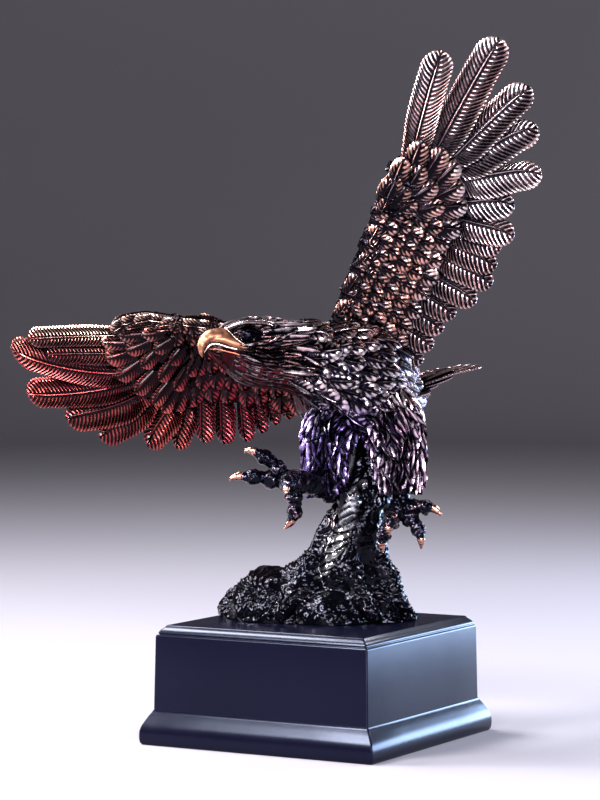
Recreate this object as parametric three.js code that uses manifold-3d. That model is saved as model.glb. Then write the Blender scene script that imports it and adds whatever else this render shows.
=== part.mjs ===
// Cast eagle statuette on a square moulded plinth. Millimetres, +Z up.
// Origin: centre of the plinth's underside. The plinth's front is -Y.
// Two bodies: the turned-wood plinth, and one casting (eagle, stump and mound) that rests on it.
import * as THREE from 'three';
import { mergeVertices } from 'three/addons/utils/BufferGeometryUtils.js';
import Module from 'manifold-3d';

const wasm = await Module();
wasm.setup();

// ---------------------------------------------------------------- driving dimensions
const PLINTH = {
  block: 131.0,          // side of the square block at its foot
  taper: 0.8,            // how much each side leans in up to the block's top
  blockBottom: 18.35,    // top of the foot moulding
  blockTop: 59.6,
  top: 64.32,            // flat top surface
  topInset: 5.0,         // from the block's side to the flat top's edge
  footOut: 5.9,          // how far the foot moulding stands out at its widest
};
const GAP = 0.3;                       // between casting and plinth
const FIGURE_TURN = 29.32 * Math.PI / 180; // the casting is set at an angle on its plinth
const FLOOR_Z = PLINTH.top + GAP;      // underside of the casting

// The casting is laid out in its own frame: +x to its right as seen from its show side,
// +y to the back, z measured from the plinth's underside.
const BEND = { chord: 4.5, middle: 14, half: 44, span: 10, reach: 190 }; // curvature of a wing
const COVERT = { lift: 1.7, notch: 3.2, atLead: 3.3, atEdge: 1.5 };       // overlapping rows of small feathers
const FEATHER_THICK = 2.7;

const LEFT_WING = {
  root: [14.4, 0, 215.2], span: [0.449, -0.252, 0.857], chord: [0.882, -0.028, -0.470],
  lead: [[-14, -12], [13, -16], [42, -19], [64, -22], [88, -29], [108, -26], [122, -16]],
  edge: [[-14, 34], [15, 29], [51, 28], [66, 25], [84, 25], [102, 22], [114, 12], [122, -2]],
  start: -12, stop: 118, scallops: 10, hidden: 9,
  // each long outer feather: base s, base t, angle from the span, length, width
  primaries: [[96, -14, -16, 71, 14], [102, -5, -2, 84, 18], [104, 0, 12, 69, 18], [102, 7, 25, 60, 17], [98, 12, 43, 51, 16], [92, 14, 59, 36, 15]],
  // the inner flight feathers: where they start and stop, and how they change
  secondaries: { n: 9, s0: 14, s1: 94, t: 18, angle0: 93, angle1: 80, len: [23, 24, 27, 31, 35, 37, 34, 32, 35], width: 12.2, hidden: 4 },
};
const RIGHT_WING = {
  root: [-3.6, 6, 215.0], span: [-0.918, 0.396, 0], chord: [0.160, 0.371, -0.915],
  lead: [[-14, -12], [52, -10], [76, -13], [100, -16], [118, -12], [130, -2]],
  edge: [[-14, 44], [25, 41], [52, 38], [74, 38], [100, 36], [115, 30], [127, 20], [132, 10]],
  start: -12, stop: 127, scallops: 10, hidden: 4,
  primaries: [[106, -3, 1, 76, 12], [112, 6, 1, 62, 11], [114, 16, -4, 85, 15], [116, 26, 10, 80, 17], [114, 30, 22, 62, 16], [108, 32, 41, 51, 15], [98, 34, 62, 40, 14]],
  secondaries: { n: 9, s0: 24, s1: 92, t: 30, angle0: 112, angle1: 71, len: [20, 22, 25, 28, 31, 33, 33, 34, 38], width: 10.6, hidden: 3 },
};

const TAIL = { root: [46, 25, 190], dir: [0.485, 0.863, 0.20], across: [-0.83, 0.47, -0.30], n: 6, spread: 34, len: 57, width: 12.5, arch: 0.014 };

// body, from skull to rump: x, y, z, half-height, half-width
const BODY = [
  [-49, -31, 215, 7.5, 6.5], [-44, -29, 216.5, 12.5, 11], [-34, -25, 215.5, 15.5, 13], [-22, -20, 211.5, 17.5, 15],
  [-6, -13, 206, 20, 19], [10, -5, 202, 24, 23], [26, 5, 197, 27, 25], [37, 16, 191, 22, 18], [46, 28, 189, 14, 13], [53, 40, 190, 6, 10],
];
const HEAD_SIDE = [0.43, -0.90, 0];    // towards the side that the bird turns its face
const BEAK = { at: [-47, -30.5, 215.5], fwd: [-0.90, -0.43, 0], len: 19, high: 9.0, wide: 6.2, hook: 12 };
const EYE = { out: 11.2, r: 3.0, at: [-37.5, -25.5, 221] };

const THIGHS = {
  right: { pts: [[16, -2, 184], [10.5, -6, 168], [7, -9, 152], [6.5, -11, 133]], r: [17, 16.5, 13.5, 12], tufts: 4 },
  left: { pts: [[32, -4, 184], [40, -7, 168], [42.5, -9, 152], [44, -10, 136]], r: [16, 15, 13.5, 12.5], tufts: 4 },
};
const TOE = { r: 4.1, tip: 0.6 };
// toes: heading in plan, rise at the palm, total curl, length
const RIGHT_FOOT = { ankle: [8, -9, 136], palm: [-15.5, -33, 141], r: 7.2, shin: 6.2,
  toes: [[188, 36, 22, 32], [196, 6, 2, 35], [0, -72, 45, 27], [264, 12, 60, 20]] };
const LEFT_FOOT = { ankle: [45, -10, 140], palm: [45, -14, 126], r: 7.6, shin: 4.8,
  toes: [[-24, 12, 26, 22], [-52, -26, 48, 29], [-118, -8, 70, 22], [-152, -42, 40, 28]] };

const FLANK_FEATHER = { pts: [[46, 6, 188], [53.5, 3, 180], [58, 2, 165]], r: [4, 3.4, 1] };

const TRUNK = [
  // x, y, z, half-width, half-depth
  [18, 5, 58, 33, 28], [17.5, 4, 76, 26, 24], [16.5, 3, 90, 22.5, 20], [17.5, 2, 102, 20.5, 17.5], [21.0, 1, 113, 17.5, 15.5],
  [24.5, 1, 124, 15, 13], [27, 3, 136, 11.5, 11], [30, 5, 152, 10.5, 10], [32, 6, 172, 12, 12],
];
const MOUND = { lumps: [[1, 15, 62, 53, 35, 17], [-25, 6, 68, 23, 22, 26], [-45, 17, 64, 10, 11, 17], [8, -10, 64, 22, 18, 20], [-8, 2, 76, 20, 18, 21]], cut: 60 };
const ROOTS = [[196, 36, 36, 6], [262, 30, 36, 5.5], [318, 26, 40, 5.5], [40, 20, 40, 5.5], [110, 34, 38, 6]];
const BRANCH = { from: [20, -4, 118], to: [15, -16, 138.5], r0: 8.5, r1: 5.6 };

// ---------------------------------------------------------------- small helpers
const V = (a) => new THREE.Vector3(a[0], a[1], a[2]);
const lerp = (a, b, u) => a + (b - a) * u;
function along(table, x) {             // smooth reading of a short table of sizes
  if (x <= table[0][0]) return table[0][1];
  for (let i = 1; i < table.length; i++) {
    if (x <= table[i][0]) {
      const u = (x - table[i - 1][0]) / (table[i][0] - table[i - 1][0]);
      return lerp(table[i - 1][1], table[i][1], u);
    }
  }
  return table[table.length - 1][1];
}

// a closed skin over a row of rings, every ring with the same number of points
function skin(rings) {
  const n = rings[0].length;
  const pos = [];
  const idx = [];
  rings.forEach((r) => r.forEach((p) => pos.push(p.x, p.y, p.z)));
  for (let i = 0; i + 1 < rings.length; i++) {
    for (let j = 0; j < n; j++) {
      const a = i * n + j, b = i * n + (j + 1) % n, c = a + n, d = b + n;
      idx.push(a, b, d, a, d, c);
    }
  }
  [0, rings.length - 1].forEach((k) => {
    const c = new THREE.Vector3();
    rings[k].forEach((p) => c.addScaledVector(p, 1 / n));
    const m = pos.length / 3;
    pos.push(c.x, c.y, c.z);
    for (let j = 0; j < n; j++) {
      const a = k * n + j, b = k * n + (j + 1) % n;
      if (k === 0) idx.push(m, b, a); else idx.push(m, a, b);
    }
  });
  const g = new THREE.BufferGeometry();
  g.setAttribute('position', new THREE.Float32BufferAttribute(pos, 3));
  g.setIndex(idx);
  return g;
}

// a tube of changing oval section along a smooth curve
function tube(points, radii, steps, sides, opts = {}) {
  const curve = new THREE.CatmullRomCurve3(points.map(V), false, 'centripetal');
  const up = V(opts.up || [0, 0, 1]);
  const rings = [];
  for (let i = 0; i <= steps; i++) {
    const u = i / steps;
    const c = curve.getPoint(u), d = curve.getTangent(u);
    const side = new THREE.Vector3().crossVectors(d, up);
    if (side.length() < 0.15) side.set(1, 0, 0);
    side.normalize();
    const top = new THREE.Vector3().crossVectors(side, d).normalize();
    const k = u * (radii.length - 1), k0 = Math.min(Math.floor(k), radii.length - 2), f = k - k0;
    const s = f * f * (3 - 2 * f);
    const ra = Array.isArray(radii[0]) ? lerp(radii[k0][0], radii[k0 + 1][0], s) : lerp(radii[k0], radii[k0 + 1], s);
    const rb = Array.isArray(radii[0]) ? lerp(radii[k0][1], radii[k0 + 1][1], s) : ra;
    const ring = [];
    for (let j = 0; j < sides; j++) {
      const a = (j / sides) * Math.PI * 2;
      const w = opts.wave ? opts.wave(u, a) : 1;
      ring.push(c.clone().addScaledVector(side, Math.cos(a) * rb * w).addScaledVector(top, Math.sin(a) * ra * w));
    }
    rings.push(ring);
  }
  return skin(rings);
}

function lump(x, y, z, rx, ry, rz, seg = 10, wave = 0) {
  const g = new THREE.SphereGeometry(1, seg, Math.max(6, Math.round(seg * 0.6)));
  g.rotateX(Math.PI / 2);
  const p = g.attributes.position;
  for (let i = 0; i < p.count; i++) {
    const a = Math.atan2(p.getY(i), p.getX(i));
    const w = 1 + wave * Math.sin(3 * a + 1.3) + 0.5 * wave * Math.sin(7 * a);
    p.setXYZ(i, x + p.getX(i) * rx * w, y + p.getY(i) * ry * w, z + p.getZ(i) * rz);
  }
  return g;
}

function solid(geometry) {
  const bare = geometry.clone();
  bare.deleteAttribute('normal');
  bare.deleteAttribute('uv');
  const g = mergeVertices(bare, 1e-4);
  const p = g.attributes.position, ix = g.index;
  const vp = new Float32Array(p.array);
  let tv = [];
  for (let i = 0; i < ix.count; i += 3) {
    const t = [ix.getX(i), ix.getX(i + 1), ix.getX(i + 2)];
    if (t[0] !== t[1] && t[1] !== t[2] && t[0] !== t[2]) tv.push(...t);
  }
  // faces must point out
  let vol = 0;
  for (let i = 0; i < tv.length; i += 3) {
    const [a, b, c] = [tv[i] * 3, tv[i + 1] * 3, tv[i + 2] * 3];
    vol += vp[a] * (vp[b + 1] * vp[c + 2] - vp[b + 2] * vp[c + 1])
         + vp[a + 1] * (vp[b + 2] * vp[c] - vp[b] * vp[c + 2])
         + vp[a + 2] * (vp[b] * vp[c + 1] - vp[b + 1] * vp[c]);
  }
  if (vol < 0) for (let i = 0; i < tv.length; i += 3) [tv[i + 1], tv[i + 2]] = [tv[i + 2], tv[i + 1]];
  return new wasm.Manifold(new wasm.Mesh({ numProp: 3, vertProperties: vp, triVerts: new Uint32Array(tv) }));
}

function joinAll(list) {               // joins neighbours two by two
  let row = list;
  while (row.length > 1) {
    const next = [];
    for (let i = 0; i < row.length; i += 2) next.push(i + 1 < row.length ? row[i].add(row[i + 1]) : row[i]);
    row = next;
  }
  return row[0];
}

// keeps the outer skin, so that no pocket is sealed inside the casting
function outerSkin(manifold) {
  const m = manifold.getMesh();
  const nv = m.vertProperties.length / m.numProp;
  const parent = new Int32Array(nv).map((_, i) => i);
  const find = (a) => { while (parent[a] !== a) { parent[a] = parent[parent[a]]; a = parent[a]; } return a; };
  const key = new Map();
  for (let i = 0; i < nv; i++) {
    const k = [0, 1, 2].map((j) => m.vertProperties[i * m.numProp + j]).join();
    if (key.has(k)) parent[find(i)] = find(key.get(k)); else key.set(k, i);
  }
  for (let i = 0; i < m.triVerts.length; i += 3) {
    parent[find(m.triVerts[i])] = find(m.triVerts[i + 1]);
    parent[find(m.triVerts[i])] = find(m.triVerts[i + 2]);
  }
  const vols = new Map();
  const P = (i, j) => m.vertProperties[i * m.numProp + j];
  for (let i = 0; i < m.triVerts.length; i += 3) {
    const [a, b, c] = [m.triVerts[i], m.triVerts[i + 1], m.triVerts[i + 2]];
    const v = P(a, 0) * (P(b, 1) * P(c, 2) - P(b, 2) * P(c, 1)) + P(a, 1) * (P(b, 2) * P(c, 0) - P(b, 0) * P(c, 2)) + P(a, 2) * (P(b, 0) * P(c, 1) - P(b, 1) * P(c, 0));
    const r = find(a);
    vols.set(r, (vols.get(r) || 0) + v / 6);
  }
  let best = -1, bestV = -Infinity;
  vols.forEach((v, r) => { if (v > bestV) { bestV = v; best = r; } });
  const map = new Map();
  const pos = [], idx = [];
  for (let i = 0; i < m.triVerts.length; i += 3) {
    if (find(m.triVerts[i]) !== best) continue;
    for (let j = 0; j < 3; j++) {
      const v = m.triVerts[i + j];
      const k = [P(v, 0), P(v, 1), P(v, 2)].join();
      if (!map.has(k)) { map.set(k, pos.length / 3); pos.push(P(v, 0), P(v, 1), P(v, 2)); }
      idx.push(map.get(k));
    }
  }
  const g = new THREE.BufferGeometry();
  g.setAttribute('position', new THREE.Float32BufferAttribute(pos, 3));
  g.setIndex(idx);
  g.computeVertexNormals();
  return g;
}

// ---------------------------------------------------------------- wings
function sheet(wing) {
  const S = V(wing.span).normalize();
  const T = V(wing.chord); T.addScaledVector(S, -T.dot(S)).normalize();
  const N = new THREE.Vector3().crossVectors(S, T);
  if (N.y > 0) N.negate();             // N points out of the wing's underside
  const O = V(wing.root);
  return (s, t, n) => {
    const bend = -BEND.chord * (1 - ((t - BEND.middle) / BEND.half) ** 2) - BEND.span * (s / BEND.reach) ** 2;
    return O.clone().addScaledVector(S, s).addScaledVector(T, t).addScaledVector(N, n + bend);
  };
}

// one flight feather: a thin plate, thickest along its shaft, with a rounded tip
const VANE = [[0, 0.5], [0.4, 1], [0.76, 0.97], [0.94, 0.66], [1, 0.2]];
function feather(at, s, t, angle, len, width, n0, n1, thick = FEATHER_THICK, curve = 0, hidden = 0) {
  const rings = VANE.map(([v, w]) => {
    const u = lerp(hidden / len, 1, v);  // the hidden part of the quill stays inside the wing
    const a = (angle + curve * u) * Math.PI / 180;
    const cs = s + Math.cos(a) * len * u, ct = t + Math.sin(a) * len * u;
    const hw = width / 2 * w, n = lerp(n0, n1, u);
    const k = lerp(thick, thick * 0.75, u) / 2;
    return [
      at(cs + Math.sin(a) * hw, ct - Math.cos(a) * hw, n + 0.15),
      at(cs, ct, n + k),
      at(cs - Math.sin(a) * hw, ct + Math.cos(a) * hw, n - 0.15),
      at(cs, ct, n - k),
    ];
  });
  return skin(rings);
}

function makeWing(wing) {
  const at = sheet(wing);
  const lead = (s) => along(wing.lead, s), edge = (s) => along(wing.edge, s);
  const parts = [];
  // the wing itself: one skin whose rows of small feathers overlap like tiles, each row ending
  // in a scalloped step, on the underside (side 1) and on the back (side -1)
  const rows = { 1: [0.34, 0.66, 1.02], '-1': [0.48, 1.02] };
  const steps = wing.scallops * 2;
  const rings = [];
  for (let i = 0; i <= steps; i++) {
    const s = lerp(wing.start, wing.stop, i / steps);
    const end = i === steps ? 0.6 : 1;
    const a = lead(s), b = edge(s);
    const thick = (f) => lerp(COVERT.atLead, COVERT.atEdge, Math.min(1, f)) * end;
    const pt = (f, back, n) => at(s, lerp(a, b, f) - back, n);
    const half = (side) => {
      const line = [pt(0.1, 0, side * thick(0.1))];
      rows[side].forEach((f, k) => {
        const notch = (i + k) % 2 === 0 ? COVERT.notch : 0;
        line.push(pt(f, notch, side * (thick(f) + COVERT.lift * (notch ? 0.7 : 1))));
        if (k + 1 < rows[side].length) line.push(pt(f, notch - 0.7, side * thick(f)));
      });
      return line;
    };
    rings.push([pt(0, 0, 0), ...half(1), ...half(-1).reverse()]);
  }
  parts.push(skin(rings));
  // flight feathers
  wing.primaries.forEach(([s, t, angle, len, width], i) => {
    parts.push(feather(at, s, t, angle, len, width, 0.9 - i * 0.35, -0.6 - i * 0.25, FEATHER_THICK, 3, wing.hidden));
    // short coverts over their bases
    parts.push(feather(at, s - 4, t - 1, angle, Math.min(31, len * 0.5), width * 0.8, 2.6, 1.6, 2.4, 0, 8));
  });
  const q = wing.secondaries;
  for (let i = 0; i < q.n; i++) {
    const u = i / (q.n - 1);
    parts.push(feather(at, lerp(q.s0, q.s1, u), q.t, lerp(q.angle0, q.angle1, u), q.len[i], q.width, i % 2 ? 0.8 : -0.8, i % 2 ? 0.4 : -1.2, FEATHER_THICK - 0.5, -4, q.hidden));
  }
  return parts;
}

// ---------------------------------------------------------------- tail
function makeTail() {
  const D = V(TAIL.dir).normalize();
  const A = V(TAIL.across); A.addScaledVector(D, -A.dot(D)).normalize();
  const N = new THREE.Vector3().crossVectors(D, A).normalize();
  if (N.z < 0) N.negate();
  const O = V(TAIL.root);
  const at = (s, t, n) => O.clone().addScaledVector(D, s).addScaledVector(A, t).addScaledVector(N, n + 3 * Math.min(1, s / 30) - TAIL.arch * t * t);
  const parts = [];
  for (let i = 0; i < TAIL.n; i++) {
    const u = i / (TAIL.n - 1) - 0.5;
    const a = u * TAIL.spread;
    parts.push(feather(at, 0, u * 16, a, TAIL.len * (1 - 0.35 * u * u), TAIL.width, 1.2 - Math.abs(u) * 3.2, 0.6 - Math.abs(u) * 2.4, 3));
  }
  // coverts over and under the tail's root
  const rings = [];
  for (let i = 0; i <= 5; i++) {
    const u = i / 5, s = lerp(-6, 32, u), h = lerp(7.5, 1.2, u), w = lerp(13, 17, Math.sin(u * Math.PI * 0.8));
    rings.push(Array.from({ length: 8 }, (_, j) => {
      const a = (j / 8) * Math.PI * 2;
      return at(s, Math.cos(a) * w, Math.sin(a) * h);
    }));
  }
  parts.push(skin(rings));
  return parts;
}

// ---------------------------------------------------------------- body, head, legs
function makeBody() {
  const parts = [];
  const scallop = (u, a) => 1 + 0.025 * Math.cos(6 * a + 9 * u * Math.PI);
  parts.push(tube(BODY.map((b) => b.slice(0, 3)), BODY.map((b) => [b[3], b[4]]), 14, 12, { wave: scallop }));
  parts.push(lump(6, 6, 191, 20, 20, 23, 8));           // flank under the lower wing
  parts.push(lump(24, 3, 209, 20, 15, 17, 8));          // shoulder under the raised wing
  parts.push(lump(22, -6, 185, 22, 16, 18, 8));         // breast
  parts.push(tube(FLANK_FEATHER.pts, FLANK_FEATHER.r, 4, 5));
  // beak: deep, hooked, with the cere behind it
  const F = V(BEAK.fwd).normalize();
  const B = V(BEAK.at);
  const line = [[-8, 0], [0, 1.2], [0.45, 0.6], [0.76, -1.0], [0.93, -4.2], [0.96, -BEAK.hook + 3]];
  const pts = line.map(([u, z], i) => { const p = B.clone().addScaledVector(F, i === 0 ? u : u * BEAK.len); return [p.x, p.y, p.z + z]; });
  parts.push(tube(pts, [[BEAK.high, 9], [BEAK.high, 8.2], [BEAK.high * 0.86, BEAK.wide], [BEAK.high * 0.62, 4.6], [3.2, 2.6], [0.5, 0.5]], 9, 8));
  // lower jaw
  const J = [[-10, -7], [5, -7.6], [11, -6.6]].map(([u, z]) => { const p = B.clone().addScaledVector(F, u); return [p.x, p.y, p.z + z]; });
  parts.push(tube(J, [[5, 7], [3.6, 4.6], [0.8, 1.2]], 4, 6));
  // brows and eyes
  const side = V(HEAD_SIDE).normalize();
  [1, -1].forEach((k) => {
    const e = V(EYE.at).addScaledVector(side, k * (EYE.out - 1.5)).addScaledVector(F, 2);
    parts.push(lump(e.x, e.y, e.z, EYE.r, EYE.r, EYE.r, 6));
    const b0 = e.clone().addScaledVector(F, 7).add(new THREE.Vector3(0, 0, 2.2)).addScaledVector(side, -k * 2.2);
    const b1 = e.clone().addScaledVector(F, -9).add(new THREE.Vector3(0, 0, 3.2)).addScaledVector(side, -k * 0.5);
    const bm = e.clone().add(new THREE.Vector3(0, 0, 3.6)).addScaledVector(side, k * 0.4);
    parts.push(tube([b0, bm, b1].map((p) => [p.x, p.y, p.z]), [0.8, 2.4, 0.8], 4, 6));
  });
  return parts;
}

function makeThigh(t) {                // feathered trousers that end in a ragged hem
  const curve = new THREE.CatmullRomCurve3(t.pts.map(V));
  const rings = [];
  const sides = t.tufts * 3, steps = 5;
  for (let i = 0; i <= steps; i++) {
    const u = i / steps, c = curve.getPoint(u);
    const k = u * (t.r.length - 1), k0 = Math.min(Math.floor(k), t.r.length - 2);
    const r = lerp(t.r[k0], t.r[k0 + 1], k - k0) * (i === steps ? 0.86 : 1);
    rings.push(Array.from({ length: sides }, (_, j) => {
      const a = (j / sides) * Math.PI * 2;
      const tuft = i >= steps - 1 ? (j % 3 === 0 ? -4 : 3) : 0;
      const flute = 1 + 0.05 * (j % 3 === 0 ? 1 : -0.5);
      return new THREE.Vector3(c.x + Math.cos(a) * r * flute, c.y + Math.sin(a) * r * 0.9 * flute, c.z + tuft);
    }));
  }
  return skin(rings);
}

function toe(palm, [plan, rise, curl, len], r0) {
  const a = plan * Math.PI / 180;
  const h = new THREE.Vector3(Math.cos(a), Math.sin(a), 0), up = new THREE.Vector3(0, 0, 1);
  const steps = 7, pts = [palm.clone()];
  for (let i = 1; i <= steps; i++) {
    const u = (i - 0.5) / steps;
    const e = (rise - curl * u * u * 1.3) * Math.PI / 180;
    pts.push(pts[i - 1].clone().addScaledVector(h, Math.cos(e) * len / steps).addScaledVector(up, Math.sin(e) * len / steps));
  }
  const radii = [r0, r0 * 0.84, r0 * 1.05, r0 * 0.84, r0, r0 * 0.6, r0 * 0.4, TOE.tip];
  return tube(pts.map((p) => [p.x, p.y, p.z]), radii, 7, 6);
}

function makeFoot(foot) {
  const palm = V(foot.palm);
  const parts = [lump(palm.x, palm.y, palm.z, foot.r, foot.r, foot.r * 0.85, 8)];
  const q = V(foot.ankle);
  const mid = q.clone().lerp(palm, 0.5).add(new THREE.Vector3(0, 0, 2));
  parts.push(tube([q, mid, palm].map((p) => [p.x, p.y, p.z]), [foot.shin + 1, foot.shin, foot.shin + 0.6], 4, 8));
  foot.toes.forEach((t) => parts.push(toe(palm, t, TOE.r)));
  return parts;
}

// ---------------------------------------------------------------- stump and mound
function makeGround() {
  const parts = [];
  const gnarl = (u, a) => 1 + 0.07 * Math.sin(4 * a + 5 * u) + 0.05 * Math.sin(9 * a - 7 * u);
  parts.push(tube(TRUNK.map((t) => t.slice(0, 3)), TRUNK.map((t) => [t[4], t[3]]), 9, 12, { up: [0, 1, 0], wave: gnarl }));
  MOUND.lumps.forEach(([x, y, z, rx, ry, rz]) => parts.push(lump(x, y, z, rx, ry, rz, 10, 0.035)));
  // roots that wind down from the stump over the mound
  ROOTS.forEach(([heading, reach, drop, r]) => {
    const pts = [];
    for (let i = 0; i <= 4; i++) {
      const u = i / 4, a = (heading + 26 * u) * Math.PI / 180, d = lerp(12, reach + 10, u);
      pts.push([18 + Math.cos(a) * d * 1.15, 5 + Math.sin(a) * d * 0.85, 106 - drop * Math.pow(u, 0.8) + 3 * Math.sin(u * 6)]);
    }
    parts.push(tube(pts, [r * 0.9, r * 1.15, r, r * 0.6], 5, 6));
  });
  parts.push(tube([BRANCH.from, [17, -12, 128], BRANCH.to], [BRANCH.r0, BRANCH.r0 * 0.8, BRANCH.r1], 5, 7, { up: [0, 1, 0] }));
  return parts;
}

// ---------------------------------------------------------------- the casting
const pieces = [
  ...makeBody(), ...makeTail(),
  makeThigh(THIGHS.right), makeThigh(THIGHS.left),
  ...makeFoot(RIGHT_FOOT), ...makeFoot(LEFT_FOOT),
  ...makeGround(),
  ...makeWing(LEFT_WING), ...makeWing(RIGHT_WING),
].map(solid);

const slab = new THREE.BoxGeometry(400, 400, 80);
slab.translate(0, 0, FLOOR_Z - 40);
const casting = joinAll(pieces).subtract(solid(slab));
const eagleGeometry = outerSkin(casting);

const eagle = new THREE.Mesh(eagleGeometry, new THREE.MeshStandardMaterial({ color: 0x7a4636, roughness: 0.38, metalness: 0.9 }));
eagle.name = 'eagle_casting';
const turned = new THREE.Group();
turned.rotation.z = FIGURE_TURN;
turned.add(eagle);

// ---------------------------------------------------------------- the plinth: a square moulding turned on four sides
function makePlinth() {
  const half = PLINTH.block / 2;
  const top = half - PLINTH.taper;
  // out from the block's side, height
  const foot = [[4.6, 0], [PLINTH.footOut, 4.5], [5.85, 6.5], [5.3, 9.4], [3.9, 12.3], [1.9, 15.8], [0, PLINTH.blockBottom]];
  const profile = [[0, 0]];
  foot.forEach(([o, z]) => profile.push([half + o, z]));
  profile.push([top, PLINTH.blockTop - 1.0], [top - 1.2, PLINTH.blockTop - 0.4], [top - 1.0, PLINTH.blockTop + 0.4],
    [top - 2.6, PLINTH.blockTop + 2.6], [top + PLINTH.taper - PLINTH.topInset, PLINTH.top], [0, PLINTH.top]);
  const g = new THREE.LatheGeometry(profile.map(([x, z]) => new THREE.Vector2(x * Math.SQRT2, z)), 4, Math.PI / 4);
  g.rotateX(Math.PI / 2);
  const bare = g.clone();
  bare.deleteAttribute('normal'); bare.deleteAttribute('uv');
  return mergeVertices(bare, 1e-4);
}
const plinthGeometry = outerSkin(solid(makePlinth()));
const plinth = new THREE.Mesh(plinthGeometry, new THREE.MeshStandardMaterial({ color: 0x0b0c12, roughness: 0.34, metalness: 0.0 }));
plinth.name = 'plinth';

const statuette = new THREE.Group();
statuette.name = 'eagle_statuette';
statuette.add(plinth, turned);
export default statuette;
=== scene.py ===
import math

import bmesh
import bpy
import numpy as np
from mathutils import Matrix, Vector, kdtree


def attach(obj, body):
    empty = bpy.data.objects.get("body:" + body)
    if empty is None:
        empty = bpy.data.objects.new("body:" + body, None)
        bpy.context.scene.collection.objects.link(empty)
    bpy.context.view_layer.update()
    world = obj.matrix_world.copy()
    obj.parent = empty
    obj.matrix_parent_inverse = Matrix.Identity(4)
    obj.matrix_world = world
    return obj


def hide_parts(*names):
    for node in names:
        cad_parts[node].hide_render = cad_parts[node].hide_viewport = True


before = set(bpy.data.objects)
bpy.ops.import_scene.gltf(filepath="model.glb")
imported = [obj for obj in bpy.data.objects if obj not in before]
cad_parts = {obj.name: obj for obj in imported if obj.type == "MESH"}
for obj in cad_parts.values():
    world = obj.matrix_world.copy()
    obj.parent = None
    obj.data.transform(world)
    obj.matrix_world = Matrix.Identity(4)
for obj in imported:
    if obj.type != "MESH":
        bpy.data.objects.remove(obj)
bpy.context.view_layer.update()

rng = np.random.default_rng(29)

# ---------------------------------------------------------------- the casting's own frame, millimetres
# +x to the right as seen from the show side, +y to the back, z from the plinth's underside.
TURN = math.radians(29.32)
CT, ST = math.cos(TURN), math.sin(TURN)
FLOOR_Z = 64.62


def to_row(v):
    """casting frame in mm -> the part's frame in metres"""
    v = np.asarray(v, float)
    x = CT * v[..., 0] - ST * v[..., 1]
    y = ST * v[..., 0] + CT * v[..., 1]
    return np.stack([x, y, v[..., 2]], -1) * 0.001


# ---------------------------------------------------------------- small maths
def unit(a):
    a = np.asarray(a, float)
    return a / np.maximum(1e-9, np.linalg.norm(a, axis=-1, keepdims=True))


def lerp(a, b, u):
    return a + (b - a) * u


def step(e0, e1, x):
    t = np.clip((np.asarray(x, float) - e0) / (e1 - e0), 0, 1)
    return t * t * (3 - 2 * t)


def read(tab, x):
    tab = np.asarray(tab, float)
    return np.interp(x, tab[:, 0], tab[:, 1])


def hashed(ix, iy, iz, seed):
    h = (ix * 73856093) ^ (iy * 19349663) ^ (iz * 83492791) ^ (seed * 2654435761)
    h = (h ^ (h >> 13)) * 1274126177
    h = h & 0x7FFFFFFF
    h = (h ^ (h >> 16)) & 0xFFFF
    return h / 65535.0 * 2 - 1


def noise(p, size, seed=0):
    """smooth value noise, -1..1"""
    q = np.asarray(p, float) / size + 1000.0
    i = np.floor(q).astype(np.int64)
    f = q - i
    f = f * f * f * (f * (f * 6 - 15) + 10)
    out = 0
    for dx in (0, 1):
        wx = f[..., 0] if dx else 1 - f[..., 0]
        for dy in (0, 1):
            wy = f[..., 1] if dy else 1 - f[..., 1]
            for dz in (0, 1):
                wz = f[..., 2] if dz else 1 - f[..., 2]
                out = out + wx * wy * wz * hashed(i[..., 0] + dx, i[..., 1] + dy, i[..., 2] + dz, seed)
    return out


def curve_points(pts, n):
    """n points on a smooth curve through pts, evenly spaced by length, and their tangents"""
    p = np.asarray(pts, float)
    d = np.linalg.norm(np.diff(p[:, :3], axis=0), axis=1)
    k = np.concatenate([[0], np.cumsum(np.maximum(d, 1e-6) ** 0.75)])
    m = np.zeros_like(p)
    m[1:-1] = ((p[2:] - p[1:-1]) / (k[2:] - k[1:-1])[:, None] * (k[1:-1] - k[:-2])[:, None]
               + (p[1:-1] - p[:-2]) / (k[1:-1] - k[:-2])[:, None] * (k[2:] - k[1:-1])[:, None]) / (k[2:] - k[:-2])[:, None]
    m[0] = (p[1] - p[0]) / (k[1] - k[0])
    m[-1] = (p[-1] - p[-2]) / (k[-1] - k[-2])

    def at(t):
        j = np.clip(np.searchsorted(k, t, side="right") - 1, 0, len(k) - 2)
        h = k[j + 1] - k[j]
        u = ((t - k[j]) / h)[:, None]
        h = h[:, None]
        return ((2 * u**3 - 3 * u**2 + 1) * p[j] + (u**3 - 2 * u**2 + u) * h * m[j]
                + (-2 * u**3 + 3 * u**2) * p[j + 1] + (u**3 - u**2) * h * m[j + 1])
    fine = at(np.linspace(0, k[-1], 600))
    ln = np.concatenate([[0], np.cumsum(np.linalg.norm(np.diff(fine[:, :3], axis=0), axis=1))])
    want = np.linspace(0, ln[-1], n)
    out = np.stack([np.interp(want, ln, fine[:, c]) for c in range(p.shape[1])], 1)
    tang = unit(np.gradient(out[:, :3], axis=0))
    return out, tang, ln[-1]


# ---------------------------------------------------------------- closed shells
def grid_faces(R, C, off=0, flip=False):
    i, j = np.meshgrid(np.arange(R - 1), np.arange(C - 1), indexing="ij")
    a = (i * C + j).ravel() + off
    b, c, d = a + 1, a + C, a + C + 1
    t = np.concatenate([np.stack([a, b, d], 1), np.stack([a, d, c], 1)])
    return t[:, ::-1] if flip else t


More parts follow.
